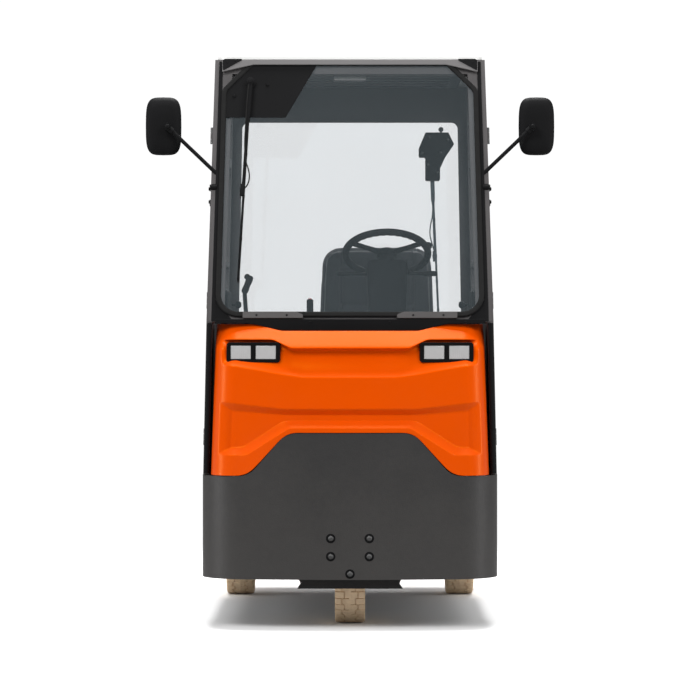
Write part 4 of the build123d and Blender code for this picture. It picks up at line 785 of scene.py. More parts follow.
def crown_edge(x, foot, rise, half, foot_half, fillet):
    """Height of the bumper's top edge at x: a raised middle with filleted slopes."""
    slope = atan2(rise, foot_half - half)
    run = fillet * tan(slope / 2)
    if x <= half - run:
        return foot + rise
    if x <= half + run * cos(slope):
        return foot + rise - fillet + sqrt(fillet**2 - (x - half + run) ** 2)
    if x <= foot_half - run * cos(slope):
        return foot + rise - (x - half) * tan(slope)
    if x <= foot_half + run:
        return foot + fillet - sqrt(fillet**2 - (foot_half + run - x) ** 2)
    return foot


# Crease lines of the cowl's right half from the top edge down: (x, depth under the top edge).
CREASES = (
    ((0, -0.023), (0.240, -0.023), (0.335, 0), (0.5, 0)),
    ((0, -0.0825), (0.203, -0.0825), (0.268, -0.053), (0.5, -0.053)),
    ((0, -0.088), (0.201, -0.088), (0.266, -0.0585), (0.5, -0.0585)),
    ((0, -0.181), (0.162, -0.181), (0.237, -0.170), (0.331, -0.153), (0.430, -0.138), (0.5, -0.138)),
    ((0, -0.287), (0.225, -0.287), (0.447, -0.263), (0.5, -0.260)),
    ((0, -0.307), (0.225, -0.307), (0.410, -0.294), (0.447, -0.269), (0.5, -0.266)),
    (
        (0, -0.327), (0.200, -0.327), (0.228, -0.3285), (0.360, -0.416),
        (0.410, -0.419), (0.450, -0.438), (0.5, -0.438),
    ),
    ((0, -0.352), (0.206, -0.352), (0.350, -0.444), (0.5, -0.444)),
)
# Rows between each crease line and the next: (shares of the way, depth in the lamp channel,
# depth in the lower recess).
BANDS = (
    ((0, 0.10, 0.35, 0.72, 0.92, 1), lambda share: 0, lambda share: 0),
    ((0.35,), lambda share: 0.35, lambda share: 0),
    ((0, 0.08, 0.25, 0.45, 0.65, 0.80, 0.91, 0.97, 1), lambda share: 1 - share**2.6, lambda share: 0),
    ((0.05, 0.15, 0.5, 0.88, 0.97, 1), lambda share: 0, lambda share: 0),
    ((0.25, 0.75, 1), lambda share: 0, lambda share: share),
    ((0.06, 0.3, 0.7, 0.94, 1), lambda share: 0, lambda share: 1),
    ((0.2, 0.8, 0.96, 1), lambda share: 0, lambda share: 1 - share),
    ((0.10, 0.5, 0.9, 1), lambda share: 0, lambda share: 0),
)
# Columns from the middle outwards, then turns round the corner and runs behind it.
ACROSS = (
    0, 0.04, 0.08, 0.12, 0.145, 0.162, 0.178, 0.192, 0.203, 0.213, 0.225, 0.238, 0.253, 0.268, 0.285,
    0.305, 0.325, 0.340, 0.352, 0.365, 0.380, 0.395, 0.404, 0.410, 0.416, 0.422, 0.428, 0.436, 0.444, 0.450,
)
CORNER_TURNS = (50, 60, 70, 80, 90)
BEHIND = (0.04, 0.10, 0.18)


class TUG_OT_cowl(TugOperator, bpy.types.Operator):
    """Model the creased cowl as one pressed shell with its lamp channel and lower recess"""

    bl_idname = "tug.cowl"
    bl_label = "Cowl"

    def execute(self, context):
        low, high = corners("front_cowl")
        bumper_low, bumper_high = corners("front_bumper")
        top, shoulder, taper, gap = high.z, low.z, 0.017, 0.002
        scoop, recess, radius, bow = 0.030, 0.020, 0.09, 0.048
        brow_drop, brow_set, brow_lean = 0.081, 0.008, 0.070
        drawn_half, edge_x = 0.470, 0.5  # half width that ACROSS is drawn for, and its outer end
        channel_end, recess_end = (0.429, 0.011), (0.410, 0.034)  # where they run out, over what length
        crown_half, crown_foot, crown_fillet = 0.215, 0.345, 0.080
        crown = bumper_high.z + gap - shoulder
        lines = [lambda x, points=points: top + between(points, x) for points in CREASES]
        lines.append(lambda x: crown_edge(x, shoulder, crown, crown_half, crown_foot, crown_fillet))
        rows = [
            (first, second, share, in_channel(share), in_recess(share))
            for first, second, (shares, in_channel, in_recess) in zip(lines, lines[1:], BANDS)
            for share in shares
        ]
        turns = [(radians(turn), 0) for turn in CORNER_TURNS] + [(radians(90), back) for back in BEHIND]
        count = len(ACROSS) + len(turns)
        shell = bmesh.new()
        bmesh.ops.create_grid(shell, x_segments=count - 1, y_segments=len(rows) - 1, size=1)

        def station(z):
            """How far the shell's middle stands behind the nose."""
            brow_z = top - brow_drop
            if z > brow_z:
                return brow_set + (z - brow_z) / brow_drop * brow_lean
            return max(0.0, (z - shoulder) / (brow_z - shoulder)) * brow_set

        def inside_of(end, nominal):
            """1 inside a hollow, 0 past its outer end."""
            return 1 - min(1, max(0, (nominal - end[0]) / end[1]))

        for vert in shell.verts:
            column = round((vert.co.x + 1) / 2 * (count - 1))
            row = rows[round((1 - vert.co.y) / 2 * (len(rows) - 1))]
            first, second, share, in_channel, in_recess = row
            inside = column < len(ACROSS)
            nominal = ACROSS[column] if inside else edge_x
            z = first(nominal) * (1 - share) + second(nominal) * share
            half = high.x - taper * (z - shoulder) / (top - shoulder)
            centre = half - radius
            turn, back = 0.0, 0.0
            if inside:
                x = nominal * half / drawn_half
                if x > centre:
                    turn = atan2(x - centre, sqrt(max(1e-9, radius**2 - (x - centre) ** 2)))
            else:
                turn, back = turns[column - len(ACROSS)]
                x = centre + radius * sin(turn)
            y = bow / half**2 * min(x, centre) ** 2 + radius * (1 - cos(turn))
            sunk = scoop * in_channel * inside_of(channel_end, nominal)
            sunk += recess * in_recess * inside_of(recess_end, nominal)
            y += station(z) + back + sunk * cos(turn)
            vert.co = (x - sunk * sin(turn), min(bumper_low.y + y, high.y), z)
        mirrored(shell)
        bmesh.ops.remove_doubles(shell, verts=shell.verts, dist=10 * WELD)
        piece = finished("cowl_shell", shell, "cowl_paint", "front_cowl", True, smooth=0)
        piece.data.shade_smooth()
        smoothing = piece.modifiers.new("smooth pressing", "SUBSURF")
        smoothing.levels = smoothing.render_levels = 2
        wall = piece.modifiers.new("wall", "SOLIDIFY")
        wall.thickness = 0.004
        wall.offset = -1
        return {"FINISHED"}


class TUG_OT_bumper(TugOperator, bpy.types.Operator):
    """Round the bumper's edges and fit its bolts"""

    bl_idname = "tug.bumper"
    bl_label = "Bumper"

    def execute(self, context):
        shape = {"bevel": 0.003, "smooth": 38, "segments": 3}
        finished("bumper_plate", copied("front_bumper"), "bumper_paint", "front_bumper", True, **shape)
        mount = RECORD["mounts"][0]
        middle = mount["pos_m"][2]
        across, up = (mount["dims"][f"spacing_{axis}_mm"] / 2000 for axis in "xy")
        low = corners("front_bumper")[0]
        places = [(x, middle + z) for x in (-across, across) for z in (-up, up)] + [(0, low.z + 0.020)]
        heads, rings = bmesh.new(), bmesh.new()
        head, ring = sizes().bolt_head, sizes().bolt_ring
        socket = (
            (0, 0.004), (head + 0.001, 0.004), (head + 0.002, 0.0012),
            (ring - 0.002, 0.0016), (ring - 0.0005, 0.0006), (ring, -0.002),
        )
        cap = ((0, 0.0078), (head * 0.55, 0.0074), (head * 0.85, 0.0060), (head, 0.0034), (head, -0.004))
        for x, z in places:
            place = Vector((x, low.y + x * x * 0.052 / 0.505**2, z))
            turned(rings, socket, place, FRONT, 36)
            turned(heads, cap, place, FRONT, 30)
        finished("bumper_bolt_rings", rings, "black_plastic", "front_bumper")
        finished("bumper_bolt_heads", heads, "dark_steel", "front_bumper", slot="steel")
        return {"FINISHED"}


# ---------------------------------------------------------------- wheels
def tread(node):
    """Solid tyre whose two zigzag grooves and staggered slots part its tread into blocks."""
    low, high = corners(node)
    centre, radius, half = (low + high) / 2, (high.z - low.z) / 2, (high.x - low.x) / 2
    blocks, depth = sizes().tread_blocks // 2 * 2, sizes().tread_depth
    groove, wall = 0.0012, 0.0005
    rim_low, rim_high = corners(node.replace("tyre", "rim"))
    bead = (rim_high.z - rim_low.z) / 2 + 0.0003
    # Tread from the middle to the shoulder and down the side: (aside, drop, what it belongs to).
    right = [(0.0, 0, ""), (0.0035, 0, ""), (0.004, 0, "middle")]
    for line, name, inner in ((half * 0.37, "near", "middle"), (half * 0.53, "far", "edge")):
        right += [(line - groove - wall, 0, inner)]
        right += [(line - groove, 0, name), (line + groove, 0, name), (line + groove + wall, 0, "edge")]
    edge = ((0.012, 0.0006), (0.005, 0.0018), (0.0015, 0.0042), (0, 0.0085))
    side = (
        (0.0008, 0.020), (0.0023, 0.0215), (0.0023, 0.036), (0.0008, 0.0375),
        (0.002, 0.060), (0.005, 0.076), (0.0058, radius - bead),
    )
    for points, tag in ((edge, "edge"), (side, "")):
        right += [(half - inward, drop, tag) for inward, drop in points]
    rows = [(-x, drop, tag) for x, drop, tag in reversed(right[1:])] + right
    rows.append(rows[0])
    shares = (-0.045, 0.045, 0.065, 0.30, 0.5, 0.70, 0.935)
    columns = blocks * len(shares)
    mesh = bmesh.new()
    bmesh.ops.create_grid(mesh, x_segments=columns, y_segments=len(rows) - 1, size=1)
    for vert in mesh.verts:
        column = round((vert.co.x + 1) / 2 * columns) % columns
        aside, drop, tag = rows[round((vert.co.y + 1) / 2 * (len(rows) - 1))]
        number, share = divmod(column, len(shares))
        slot = share < 2
        turn = 2 * pi * (number + shares[share]) / blocks
        odd = (number + (aside > 0)) % 2
        deep = tag in ("near", "far") and (slot or tag == ("near", "far")[odd])
        deep = deep or (slot and tag == "edge") or (slot and tag == "middle" and odd)
        worn = noise.noise(Vector((aside, cos(turn) * radius, sin(turn) * radius)) * 90) * 0.0007 - 0.0004
        reach = radius - drop - (depth if deep else -worn if tag else 0)
        vert.co = centre + Vector((aside, reach * cos(turn), reach * sin(turn)))
    finished(node + "_tread", mesh, "tyre_rubber", node, True, smooth=32)


class TUG_OT_wheels(TugOperator, bpy.types.Operator):
    """Model the block tread of the solid tyres and the pressed rims with their nuts"""

    bl_idname = "tug.wheels"
    bl_label = "Wheels"

    def execute(self, context):
        nuts_count, nut_circle = 5, 0.068
        caps = bmesh.new()
        for place, outward in (("front", 1), ("rear_left", 1), ("rear_right", -1)):
            tread(place + "_tyre")
            node = place + "_rim"
            low, high = corners(node)
            centre, half, bead = (low + high) / 2, (high.x - low.x) / 2, (high.z - low.z) / 2
            bore, hub, well, lip, face = 0.0251, half, 0.093, 0.1035, half - 0.004
            profile = (
                (bore, half), (hub - 0.004, half), (hub, half - 0.004), (hub, 0.020), (hub + 0.006, 0.013),
                (0.080, 0.008), (well, 0.012), (lip, 0.023), (lip + 0.001, face - 0.005),
                (lip + 0.005, face - 0.001), (bead - 0.0005, face), (bead - 0.0005, -face),
                (lip + 0.005, -face + 0.001), (lip + 0.001, -face + 0.005), (lip, -0.012), (well, -0.006),
                (hub, -0.006), (hub, -half + 0.004), (hub - 0.004, -half), (bore, -half), (bore, half),
            )
            way = Vector((outward, 0, 0))
            pressing, nuts = bmesh.new(), bmesh.new()
            turned(pressing, profile, centre, way, 64)
            finished(node + "_pressing", pressing, "rim_paint", node, True, smooth=35)
            for i in range(nuts_count):
                turn = 2 * pi * i / nuts_count + 0.3
                spot = Vector((outward * 0.0095, nut_circle * cos(turn), nut_circle * sin(turn)))
                nut(nuts, centre + spot, way, 0.0095, 0.010)
            finished(node + "_nuts", nuts, "steel", node, smooth=30)
            if place != "front":
                end = centre + way * (half - 0.0005)
                cap = ((0, 0.006), (0.016, 0.006), (0.020, 0.003), (0.0245, 0.001), (0.0245, -0.003))
                turned(caps, cap, end, way, 36)
        finished("axle_caps", caps, "dark_steel", "drive_axle")
        return {"FINISHED"}


# ---------------------------------------------------------------- lamps and the windscreen's surround
class TUG_OT_lamps(TugOperator, bpy.types.Operator):
    """Round the headlamps' housings and lenses"""

    bl_idname = "tug.lamps"
    bl_label = "Headlamps"

    def execute(self, context):
        for name, node, finish, radius in (
            ("headlamp_bodies", "headlamp_housings", "lamp_plastic", 0.0035),
            ("headlamp_covers", "headlamp_lenses", "lens_plastic", 0.0022),
        ):
            finished(name, copied(node), finish, node, True, bevel=radius, segments=3)
        return {"FINISHED"}


class TUG_OT_surround(TugOperator, bpy.types.Operator):
    """Dress the windscreen's surround: clamp tabs, screws, corner plates, and black strips that paint the
    shade in the gaps along its edges
    """

    bl_idname = "tug.surround"
    bl_label = "Windscreen surround"

    def execute(self, context):
        tabs, screws, plates, shade_strips = (bmesh.new() for _ in range(4))
        seal_foot, out = corners("windscreen_seal")[0].z, sizes().seal_height
        panel_low, panel_high = corners("scuttle_panel")
        slope = cos(atan2(SCREEN_WAY.z, -SCREEN_WAY.y))
        plate_z, plate_out, foot_z, head_z, foot_x = 1.9, 0.0205, 1.046, 1.946, 0.4592
        wall_foot, wall_head, bar = corners("front_cowl")[0].z + 0.004, 1.040, 0.0095
        tab = (
            (0.160, 0, 0.003), (0.365, 0, 0.003), (0.365, 0.022, 0.003),
            (0.182, 0.022, 0.012), (0.160, 0.012, 0.005),
        )
        corner_plate = ((0.440, 1.9095), (0.4405, 1.948), (0.431, 1.951), (0.366, 1.951))
        pillar = ((foot_x, foot_z), (foot_x + 0.013, foot_z), (0.4527, head_z), (0.4407, head_z))
        gusset = ((0.398, foot_z), (foot_x, foot_z), (0.4577, 1.118))

        def up_screen(points, level, *radius):
            """Points over the windscreen measured from a level up its slope."""
            return [(x, (z - level) / slope, *radius) for x, z in points]

        for side in SIDES:
            foot = facing(on_screen(0, seal_foot - 0.006), SCREEN_WAY)
            plate(tabs, rounded(sided(tab, side)), out * 0.3, out + 0.0035, foot)
            for x in (0.215, 0.318):
                dome(screws, on_screen(side * x, seal_foot + 0.004, out + 0.0035), SCREEN_WAY, 0.0035, 0.0016)
            outline = rounded(sided(up_screen(corner_plate, plate_z, 0.003), side))
            plate(plates, outline, plate_out - 0.004, plate_out, facing(on_screen(0, plate_z), SCREEN_WAY))
            for x, z in ((0.425, 1.938), (0.398, 1.944)):
                dome(screws, on_screen(side * x, z, plate_out), SCREEN_WAY, 0.003, 0.0014)
            for x in (0.135, 0.392):
                dome(screws, (side * x, panel_low.y, panel_high.z - 0.010), FRONT, 0.0042, 0.0022)
            # Black strips that paint shade: in the gap beside the seal, and along the wall's front edge next
            # to the cowl, where it lies in shadow.
            matrix = facing(on_screen(0, foot_z), SCREEN_WAY)
            plate(shade_strips, sided(up_screen(pillar, foot_z), side), -0.002, 0.004, matrix)
            plate(shade_strips, sided(up_screen(gusset, foot_z), side), -0.002, 0.003, matrix)
            path = []
            for share in (0, 0.25, 0.5, 0.75, 1):
                z = wall_foot + (wall_head - wall_foot) * share
                reach = 0.5020 - (z - 0.470) * 0.02357 - 0.0105
                path.append((side * reach, -0.8395 + (1.055 - z) * 0.048, z))
            joined(shade_strips, swept(path, bar, sides=14))
        finished("screen_clamp_tabs", tabs, "grey_plastic", "windscreen_seal", bevel=0.0012, segments=3)
        finished("screen_corner_plates", plates, "black_plastic", "header_panel", bevel=0.0012)
        finished("surround_screws", screws, "black_plastic", "scuttle_panel")
        # Black strips that stand for painted shade in the gaps beside the seal and the cowl.
        finished("edge_strips", shade_strips, "black_plastic", "cab_frame", smooth=50)
        return {"FINISHED"}


# ---------------------------------------------------------------- wipers
def wiper(node, hose, arm, arm_aside, blade, top, aside):
    """One wiper in its hinge's frame: hub, tapered arm, clip, sprung blade, rubber and hose.

    The arm and the blade run down from the hinge by their lengths and lean aside; the blade
    starts at top under the hinge.
    """
    joint = JOINTS[node + "_sweep"]
    matrix = facing(joint["pos_m"], joint["axis"])
    back = matrix.inverted()
    heights = [(back @ vert.co).z for vert in NODES[node].data.vertices]
    level, foot = max(heights), min(heights)
    out = level - 0.0125
    frame_parts, soft_parts, hub = bmesh.new(), bmesh.new(), bmesh.new()
    # Hub with its cap nut, and the arm: a wide channel that narrows to a flat strip.
    cap = ((0, 0.0125), (0.0065, 0.0122), (0.0075, 0.010), (0.0125, 0.009), (0.0138, 0.006), (0.0138, 0))
    turned(hub, cap, matrix @ Vector((0, 0, out)), matrix.col[2][:3], 28)
    reach = Vector((-arm_aside, -arm))
    cross = reach.orthogonal().normalized()
    # Stations along the arm: (share of its length, half width, height).
    stations = (
        (0.0, 0.0085, 0.0085), (0.30, 0.0075, 0.0080), (0.36, 0.0045, 0.0045),
        (0.90, 0.0035, 0.0030), (1.0, 0.0045, 0.0030),
    )
    section = ((-1, 0), (1, 0), (1, 0.7), (0.7, 1), (-0.7, 1), (-1, 0.7))
    rings = []
    for share, wide, tall in stations:
        places = [(*(reach * share + cross * wide * i), out + tall * j) for i, j in section]
        rings.append([frame_parts.verts.new(matrix @ Vector(place)) for place in places])
    skin(frame_parts, rings)
    # Blade: two spring bows on a backing strip over the squeegee.
    start = Vector((-aside * top / (top + blade), -top))
    ahead = Vector((-aside, -top - blade)) - start
    turn = Matrix.Rotation(atan2(ahead.y, ahead.x), 4, "Z")
    along = matrix @ Matrix.Translation((*start, 0)) @ turn
    clip = matrix @ Matrix.Translation((*reach, 0)) @ turn

    def bar(first, last, wide, low, high, radius, segments=2):
        return (first, -wide, low), (last, wide, high), radius, segments

    claws = [
        bar(blade * share - 0.005, blade * share + 0.005, 0.0048, foot + 0.004, foot + 0.0125, 0.0012)
        for share in (0.02, 0.25, 0.5, 0.75, 0.98)
    ]
    blocks_on(
        frame_parts,
        along,
        bar(0.004, blade - 0.004, 0.0042, foot + 0.0095, foot + 0.0115, 0.0008),
        bar(blade * 0.25, blade * 0.75, 0.0032, foot + 0.0115, foot + 0.0145, 0.0010),
        *claws,
    )
    blocks_on(
        soft_parts,
        along,
        bar(0, blade, 0.0040, foot + 0.0035, foot + 0.0088, 0.0010),
        bar(0.002, blade - 0.002, 0.0009, foot, foot + 0.0040, 0.0004),
    )
    blocks_on(
        hub,
        clip,
        bar(-0.022, 0.020, 0.0078, foot + 0.0085, out + 0.0062, 0.0022, 3),
        bar(-0.009, 0.006, 0.0092, foot + 0.0105, out + 0.0040, 0.0015),
    )
    tube = swept([matrix @ Vector((x, y, out + z)) for x, y, z in hose], 0.0024)
    finished(node + "_arm", joined(frame_parts, hub), "black_plastic", node, True, smooth=35)
    finished(node + "_blade", joined(soft_parts, tube), "seal_rubber", node)


FRONT_HOSE = (
    (-0.006, -0.012, 0.009), (-0.010, -0.060, 0.010), (-0.014, -0.130, 0.008), (-0.019, -0.230, 0.006),
    (-0.015, -0.288, 0.006), (-0.003, -0.318, 0.007), (0.000, -0.350, 0.006), (-0.010, -0.378, 0.004),
    (-0.022, -0.386, 0.002),
)
REAR_HOSE = (
    (0.002, -0.012, 0.009), (0.000, -0.060, 0.010), (-0.003, -0.150, 0.008), (0.007, -0.190, 0.008),
    (0.010, -0.225, 0.006), (0.002, -0.258, 0.005), (-0.008, -0.292, 0.002),
)


class TUG_OT_wipers(TugOperator, bpy.types.Operator):
    """Model both wipers, their motors and the panel's bolts"""

    bl_idname = "tug.wipers"
    bl_label = "Wipers"

    def execute(self, context):
        wiper("front_wiper", FRONT_HOSE, arm=0.389, arm_aside=0.025, blade=0.601, top=0.109, aside=0.037)
        wiper("rear_wiper", REAR_HOSE, arm=0.312, arm_aside=0.010, blade=0.475, top=0.052, aside=0.023)
        details, bolts = bmesh.new(), bmesh.new()
        inside = corners("rear_window_glass")[0].y - 0.002
        pivot = Vector(JOINTS["rear_wiper_sweep"]["pos_m"])
        # Cover screws and the park ball on its stem.
        for x, z in (
            (-0.018, 0.010), (0.018, 0.040), (-0.030, 0.085), (0.040, 0.085), (0.010, 0.145), (-0.058, 0.135),
        ):
            dome(details, (pivot.x - x, inside - 0.054, pivot.z + z), FRONT, 0.005, 0.003)
        knob = Vector((0.350, inside - 0.030, 1.7875))
        rod(details, (knob.x, knob.y, 1.768), knob, 0.004, sides=14)
        ball(details, knob, 0.0098)
        pump = ((-0.330, 1.842, -0.05), (-0.30, 1.86, -0.06), (-0.27, 1.90, -0.05), (-0.262, 1.925, -0.03))
        cable = swept([on_screen(*point) for point in pump], 0.003)
        motors = copied("wiper_motors")
        finished("wiper_motor_bodies", motors, "black_plastic", "wiper_motors", True, bevel=0.004, segments=3)
        finished("wiper_motor_details", details, "dark_steel", "wiper_motors", smooth=60)
        finished("wiper_motor_cables", cable, "seal_rubber", "wiper_motors")
        for x, z in ((-0.285, 1.864), (-0.400, 1.824)):
            nut(bolts, on_screen(x, z, 0.0080), SCREEN_WAY, 0.0060, 0.004)
        collar = ((0.0095, 0.005), (0.014, 0.0045), (0.018, 0.002), (0.0185, -0.002))
        turned(bolts, collar, on_screen(-0.344, 1.869, 0.008), SCREEN_WAY)
        finished("wiper_panel_bolts", bolts, "black_plastic", "wiper_panel")
        band = copied("wiper_panel")
        bmesh.ops.translate(band, vec=SCREEN_WAY * 0.0054, verts=band.verts)
        finished("wiper_panel_plate", band, "black_plastic", "wiper_panel", True)
        return {"FINISHED"}


# ---------------------------------------------------------------- mirrors
class TUG_OT_mirrors(TugOperator, bpy.types.Operator):
    """Model the barrel-shaped mirrors on their bent tube arms"""

    bl_idname = "tug.mirrors"
    bl_label = "Mirrors"

    def execute(self, context):
        low, high = corners("mirror_housings")
        width, height, steps, squareness = 0.0615, (high.z - low.z) / 2, 64, 0.42
        centre = Vector((high.x - width, 0, (high.z + low.z) / 2))
        front, rear = low.y, high.y

        def barrel(name, profile, finish, node, smooth):
            """A bulged rectangle skinned through (share of width, share of height, y) rings."""
            mesh, rings = bmesh.new(), []
            for wide, tall, y in profile:
                ring = []
                for i in range(steps):
                    c, s = cos(2 * pi * i / steps), sin(2 * pi * i / steps)
                    x = width * abs(c) ** squareness * (1 if c > 0 else -1)
                    z = height * abs(s) ** squareness * (1 if s > 0 else -1)
                    x *= 1 - 0.05 * (z / height) ** 2
                    z *= 1 - 0.03 * (x / width) ** 2
                    ring.append(mesh.verts.new((centre.x + x * wide, y, centre.z + z * tall)))
                rings.append(ring)
            skin(mesh, rings)
            finished(name, mirrored(mesh), finish, node, True, smooth=smooth)

        shell = (
            (0.30, 0.36, front), (0.62, 0.68, front + 0.0012), (0.82, 0.86, front + 0.005),
            (0.93, 0.95, front + 0.012), (0.985, 0.988, front + 0.021), (1.0, 1.0, front + 0.031),
            (1.0, 1.0, rear - 0.002), (0.992, 0.994, rear), (0.955, 0.972, rear),
            (0.945, 0.966, rear - 0.003), (0.94, 0.962, rear - 0.006),
        )
        pane = ((0.938, 0.960, rear - 0.0055), (0.938, 0.960, rear - 0.0022), (0.925, 0.952, rear - 0.0010))
        barrel("mirror_shells", shell, "black_plastic", "mirror_housings", 50)
        barrel("mirror_panes", pane, "mirror_glass", "mirror_glasses", 25)

        # Arm from the clamp on the mirror to the bracket on the cab's pillar.
        arm_low, arm_high = corners("mirror_arms")
        start = Vector((centre.x - 0.0165, arm_low.y + 0.014, arm_high.z - 0.011))
        bend, foot = Vector((0.450, -0.722, 1.545)), Vector((0.4605, -0.722, 1.456))
        toward = (bend - start).normalized()
        path = [start, start + toward * 0.02, bend - toward * 0.030, bend - toward * 0.004]
        path += [bend + Vector((0.001, 0, -0.026)), foot + UP * 0.03, foot]
        tubes = swept(path, 0.0068, sides=20)
        rod(tubes, start - toward * 0.010, start + toward * 0.024, 0.0105, sides=24)
        rod(tubes, start + FRONT * 0.012, start + BACK * 0.016, 0.0125, sides=28)
        dome(tubes, start + FRONT * 0.012, FRONT, 0.0085, 0.005)
        bracket = bmesh.new()
        pillar = arm_low.z + 0.040
        soft_block(bracket, (0.4455, -0.738, pillar - 0.040), (0.4755, -0.714, pillar + 0.040), 0.003)
        for z in (-0.028, 0.028):
            rod(bracket, (0.458, -0.7385, pillar + z), (0.482, -0.7385, pillar + z), 0.0095, sides=28)
            nut(bracket, (0.4815, -0.7265, pillar + z * 0.8), (1, 0, 0), 0.0065, 0.005)
        rod(bracket, (0.4475, -0.726, pillar), (0.437, -0.726, pillar), 0.009, 0.0115, sides=24)
        finished("mirror_tubes", mirrored(tubes), "black_plastic", "mirror_arms", True, smooth=50)
        finished("mirror_brackets", mirrored(bracket), "black_plastic", "mirror_arms", smooth=35)
        return {"FINISHED"}


# ---------------------------------------------------------------- seat
def inflated(node, face, shrink=0.004, voxel=0.0085, cap=0.018, held=0.014):
    """Mesh of a stuffed pad, held at its back: remeshed and blown up as cloth, its moves capped."""
    mesh = copied(node)
    low, high = corners(node)
    centre, size = (low + high) / 2, high - low
    bmesh.ops.translate(mesh, vec=-centre, verts=mesh.verts)
    bmesh.ops.scale(mesh, vec=[1 - 2 * shrink / side for side in size], verts=mesh.verts)
    bmesh.ops.translate(mesh, vec=centre, verts=mesh.verts)
    data = bpy.data.meshes.new(node + "_pad")
    mesh.to_mesh(data)
    mesh.free()
    pad = bpy.data.objects.new(node + "_pad", data)
    bpy.context.scene.collection.objects.link(pad)
    remesh = pad.modifiers.new("even grid", "REMESH")
    remesh.mode = "VOXEL"
    remesh.voxel_size = voxel
    pad.data = baked(pad)
    pad.modifiers.clear()
    rest = [vert.co.copy() for vert in pad.data.vertices]
    # The pad's back lies on the side turned away from its open face.
    back = min(face.dot(low), face.dot(high)) + held
    fixed = pad.vertex_groups.new(name="fixed")
    fixed.add([i for i, place in enumerate(rest) if face.dot(place) < back], 1.0, "REPLACE")
    swelling = pad.modifiers.new("cloth", "CLOTH")
    swelling.settings.quality = 6
    swelling.settings.mass = 0.3
    swelling.settings.use_pressure = True
    swelling.settings.uniform_pressure_force = 4
    swelling.settings.effector_weights.gravity = 0
    swelling.settings.vertex_group_mass = "fixed"
    swelling.point_cache.frame_start = 1
    swelling.point_cache.frame_end = 20
    for step in range(1, 21):
        bpy.context.scene.frame_set(step)
    swollen = baked(pad)
    pad.modifiers.clear()
    pad.data = swollen
    bpy.context.scene.frame_set(1)
    for vert, start in zip(pad.data.vertices, rest):
        move = vert.co - start
        if move.length > cap:
            move *= cap / move.length
        place = start + move
        vert.co = [min(max(value, least), most) for value, least, most in zip(place, low, high)]
    result = bmesh.new()
    result.from_mesh(pad.data)
    bpy.data.objects.remove(pad)
    evenly = {"factor": 0.4, "use_axis_x": True, "use_axis_y": True, "use_axis_z": True}
    for _ in range(3):
        bmesh.ops.smooth_vert(result, verts=result.verts, **evenly)
    bmesh.ops.subdivide_edges(result, edges=result.edges, cuts=1, use_grid_fill=True)
    return result


def valley(distance, half, depth):
    """Depth of a sewn channel at a distance from its line."""
    return depth * exp(-((distance / half) ** 2))


class TUG_OT_seat(TugOperator, bpy.types.Operator):
    """Sew the seat cushion and backrest with their channels and fit the belt's buckle"""

    bl_idname = "tug.seat"
    bl_label = "Seat"

    def execute(self, context):
        seams = bmesh.new()
        # Node, way its open face looks, way its channels follow each other, its seam's share of depth.
        for node, face, run, seam in (
            ("seat_cushion", UP, BACK, 0.38),
            ("seat_backrest", FRONT, UP, 0.55),
        ):
            mesh = inflated(node, face)
            mesh.normal_update()
            low, high = corners(node)
            middle, reach = (low + high) / 2, high - low
            bolster, length, thick = reach.x * 0.29, run.dot(reach), abs(face.dot(reach))
            open_at = max(face.dot(low), face.dot(high))
            moves = []
            for vert in mesh.verts:
                outward = max(0.0, vert.normal.dot(face))
                along = run.dot(vert.co - low) / length
                aside = abs(vert.co.x - middle.x)
                depth = valley(aside - bolster, 0.007, 0.009)
                if aside < bolster:
                    depth += max(valley(along - line, 0.022, 0.0075) for line in (0.14, 0.36, 0.58, 0.80))
                border = valley(open_at - face.dot(vert.co) - thick * seam, 0.0035, 0.0045) * (1 - outward)
                moves.append(vert.normal * -(depth * min(1.0, outward * 1.3) + border))
            for vert, move in zip(mesh.verts, moves):
                vert.co += move
            piece = finished(node + "_cover", mesh, "seat_cover", node, True, smooth=70)
            # Stitches lie on both sides of the bolsters' seams.
            places = [vert.co for vert in piece.data.vertices]
            surface = bvhtree.BVHTree.FromPolygons(places, [each.vertices[:] for each in piece.data.polygons])
            count, half_stitch = 34, run * 0.0026
            for aside in (bolster * side + gap for side in SIDES for gap in (-0.006, 0.006)):
                for i in range(count):
                    share = 0.10 + 0.80 * i / (count - 1)
                    start = face * (open_at + 0.1) + run * (run.dot(low) + length * share)
                    start.x = middle.x + aside
                    hit = surface.ray_cast(start, -face)[0]
                    if hit:
                        place = hit + face * 0.0001
                        rod(seams, place - half_stitch, place + half_stitch, 0.0007, sides=6)
        finished("seat_stitches", seams, "grey_plastic", "seat_base", smooth=50)

        low, high = corners("seat_belt_buckle")
        middle, head = (low + high) / 2, high.z - 0.056
        levels = (low.z, low.z + 0.10, head - 0.06, head + 0.004)
        tube = swept([(middle.x, middle.y, z) for z in levels], 0.0065, sides=16)
        ridge = ((0.0060, -0.004), (0.0078, -0.002), (0.0078, 0.002), (0.0060, 0.004))
        for i in range(14):
            turned(tube, ridge, (middle.x, middle.y, low.z + 0.06 + i * 0.020), UP, 18)
        buckle, button = bmesh.new(), bmesh.new()
        inset = Vector((0.0005, 0.0005, 0))
        soft_block(buckle, (*(low + inset).xy, head), high - inset - UP * 0.003, 0.006, 4)
        button_low = (low.x + 0.0065, low.y + 0.008, high.z - 0.006)
        soft_block(button, button_low, (high.x - 0.0065, high.y - 0.020, high.z - 0.0002), 0.002)
        finished("belt_stalk", tube, "black_plastic", "seat_belt_buckle", True, smooth=50)
        finished("belt_buckle", buckle, "black_plastic", "seat_belt_buckle", smooth=50)
        finished("belt_button", button, "red_plastic", "seat_belt_buckle", smooth=50)
        return {"FINISHED"}


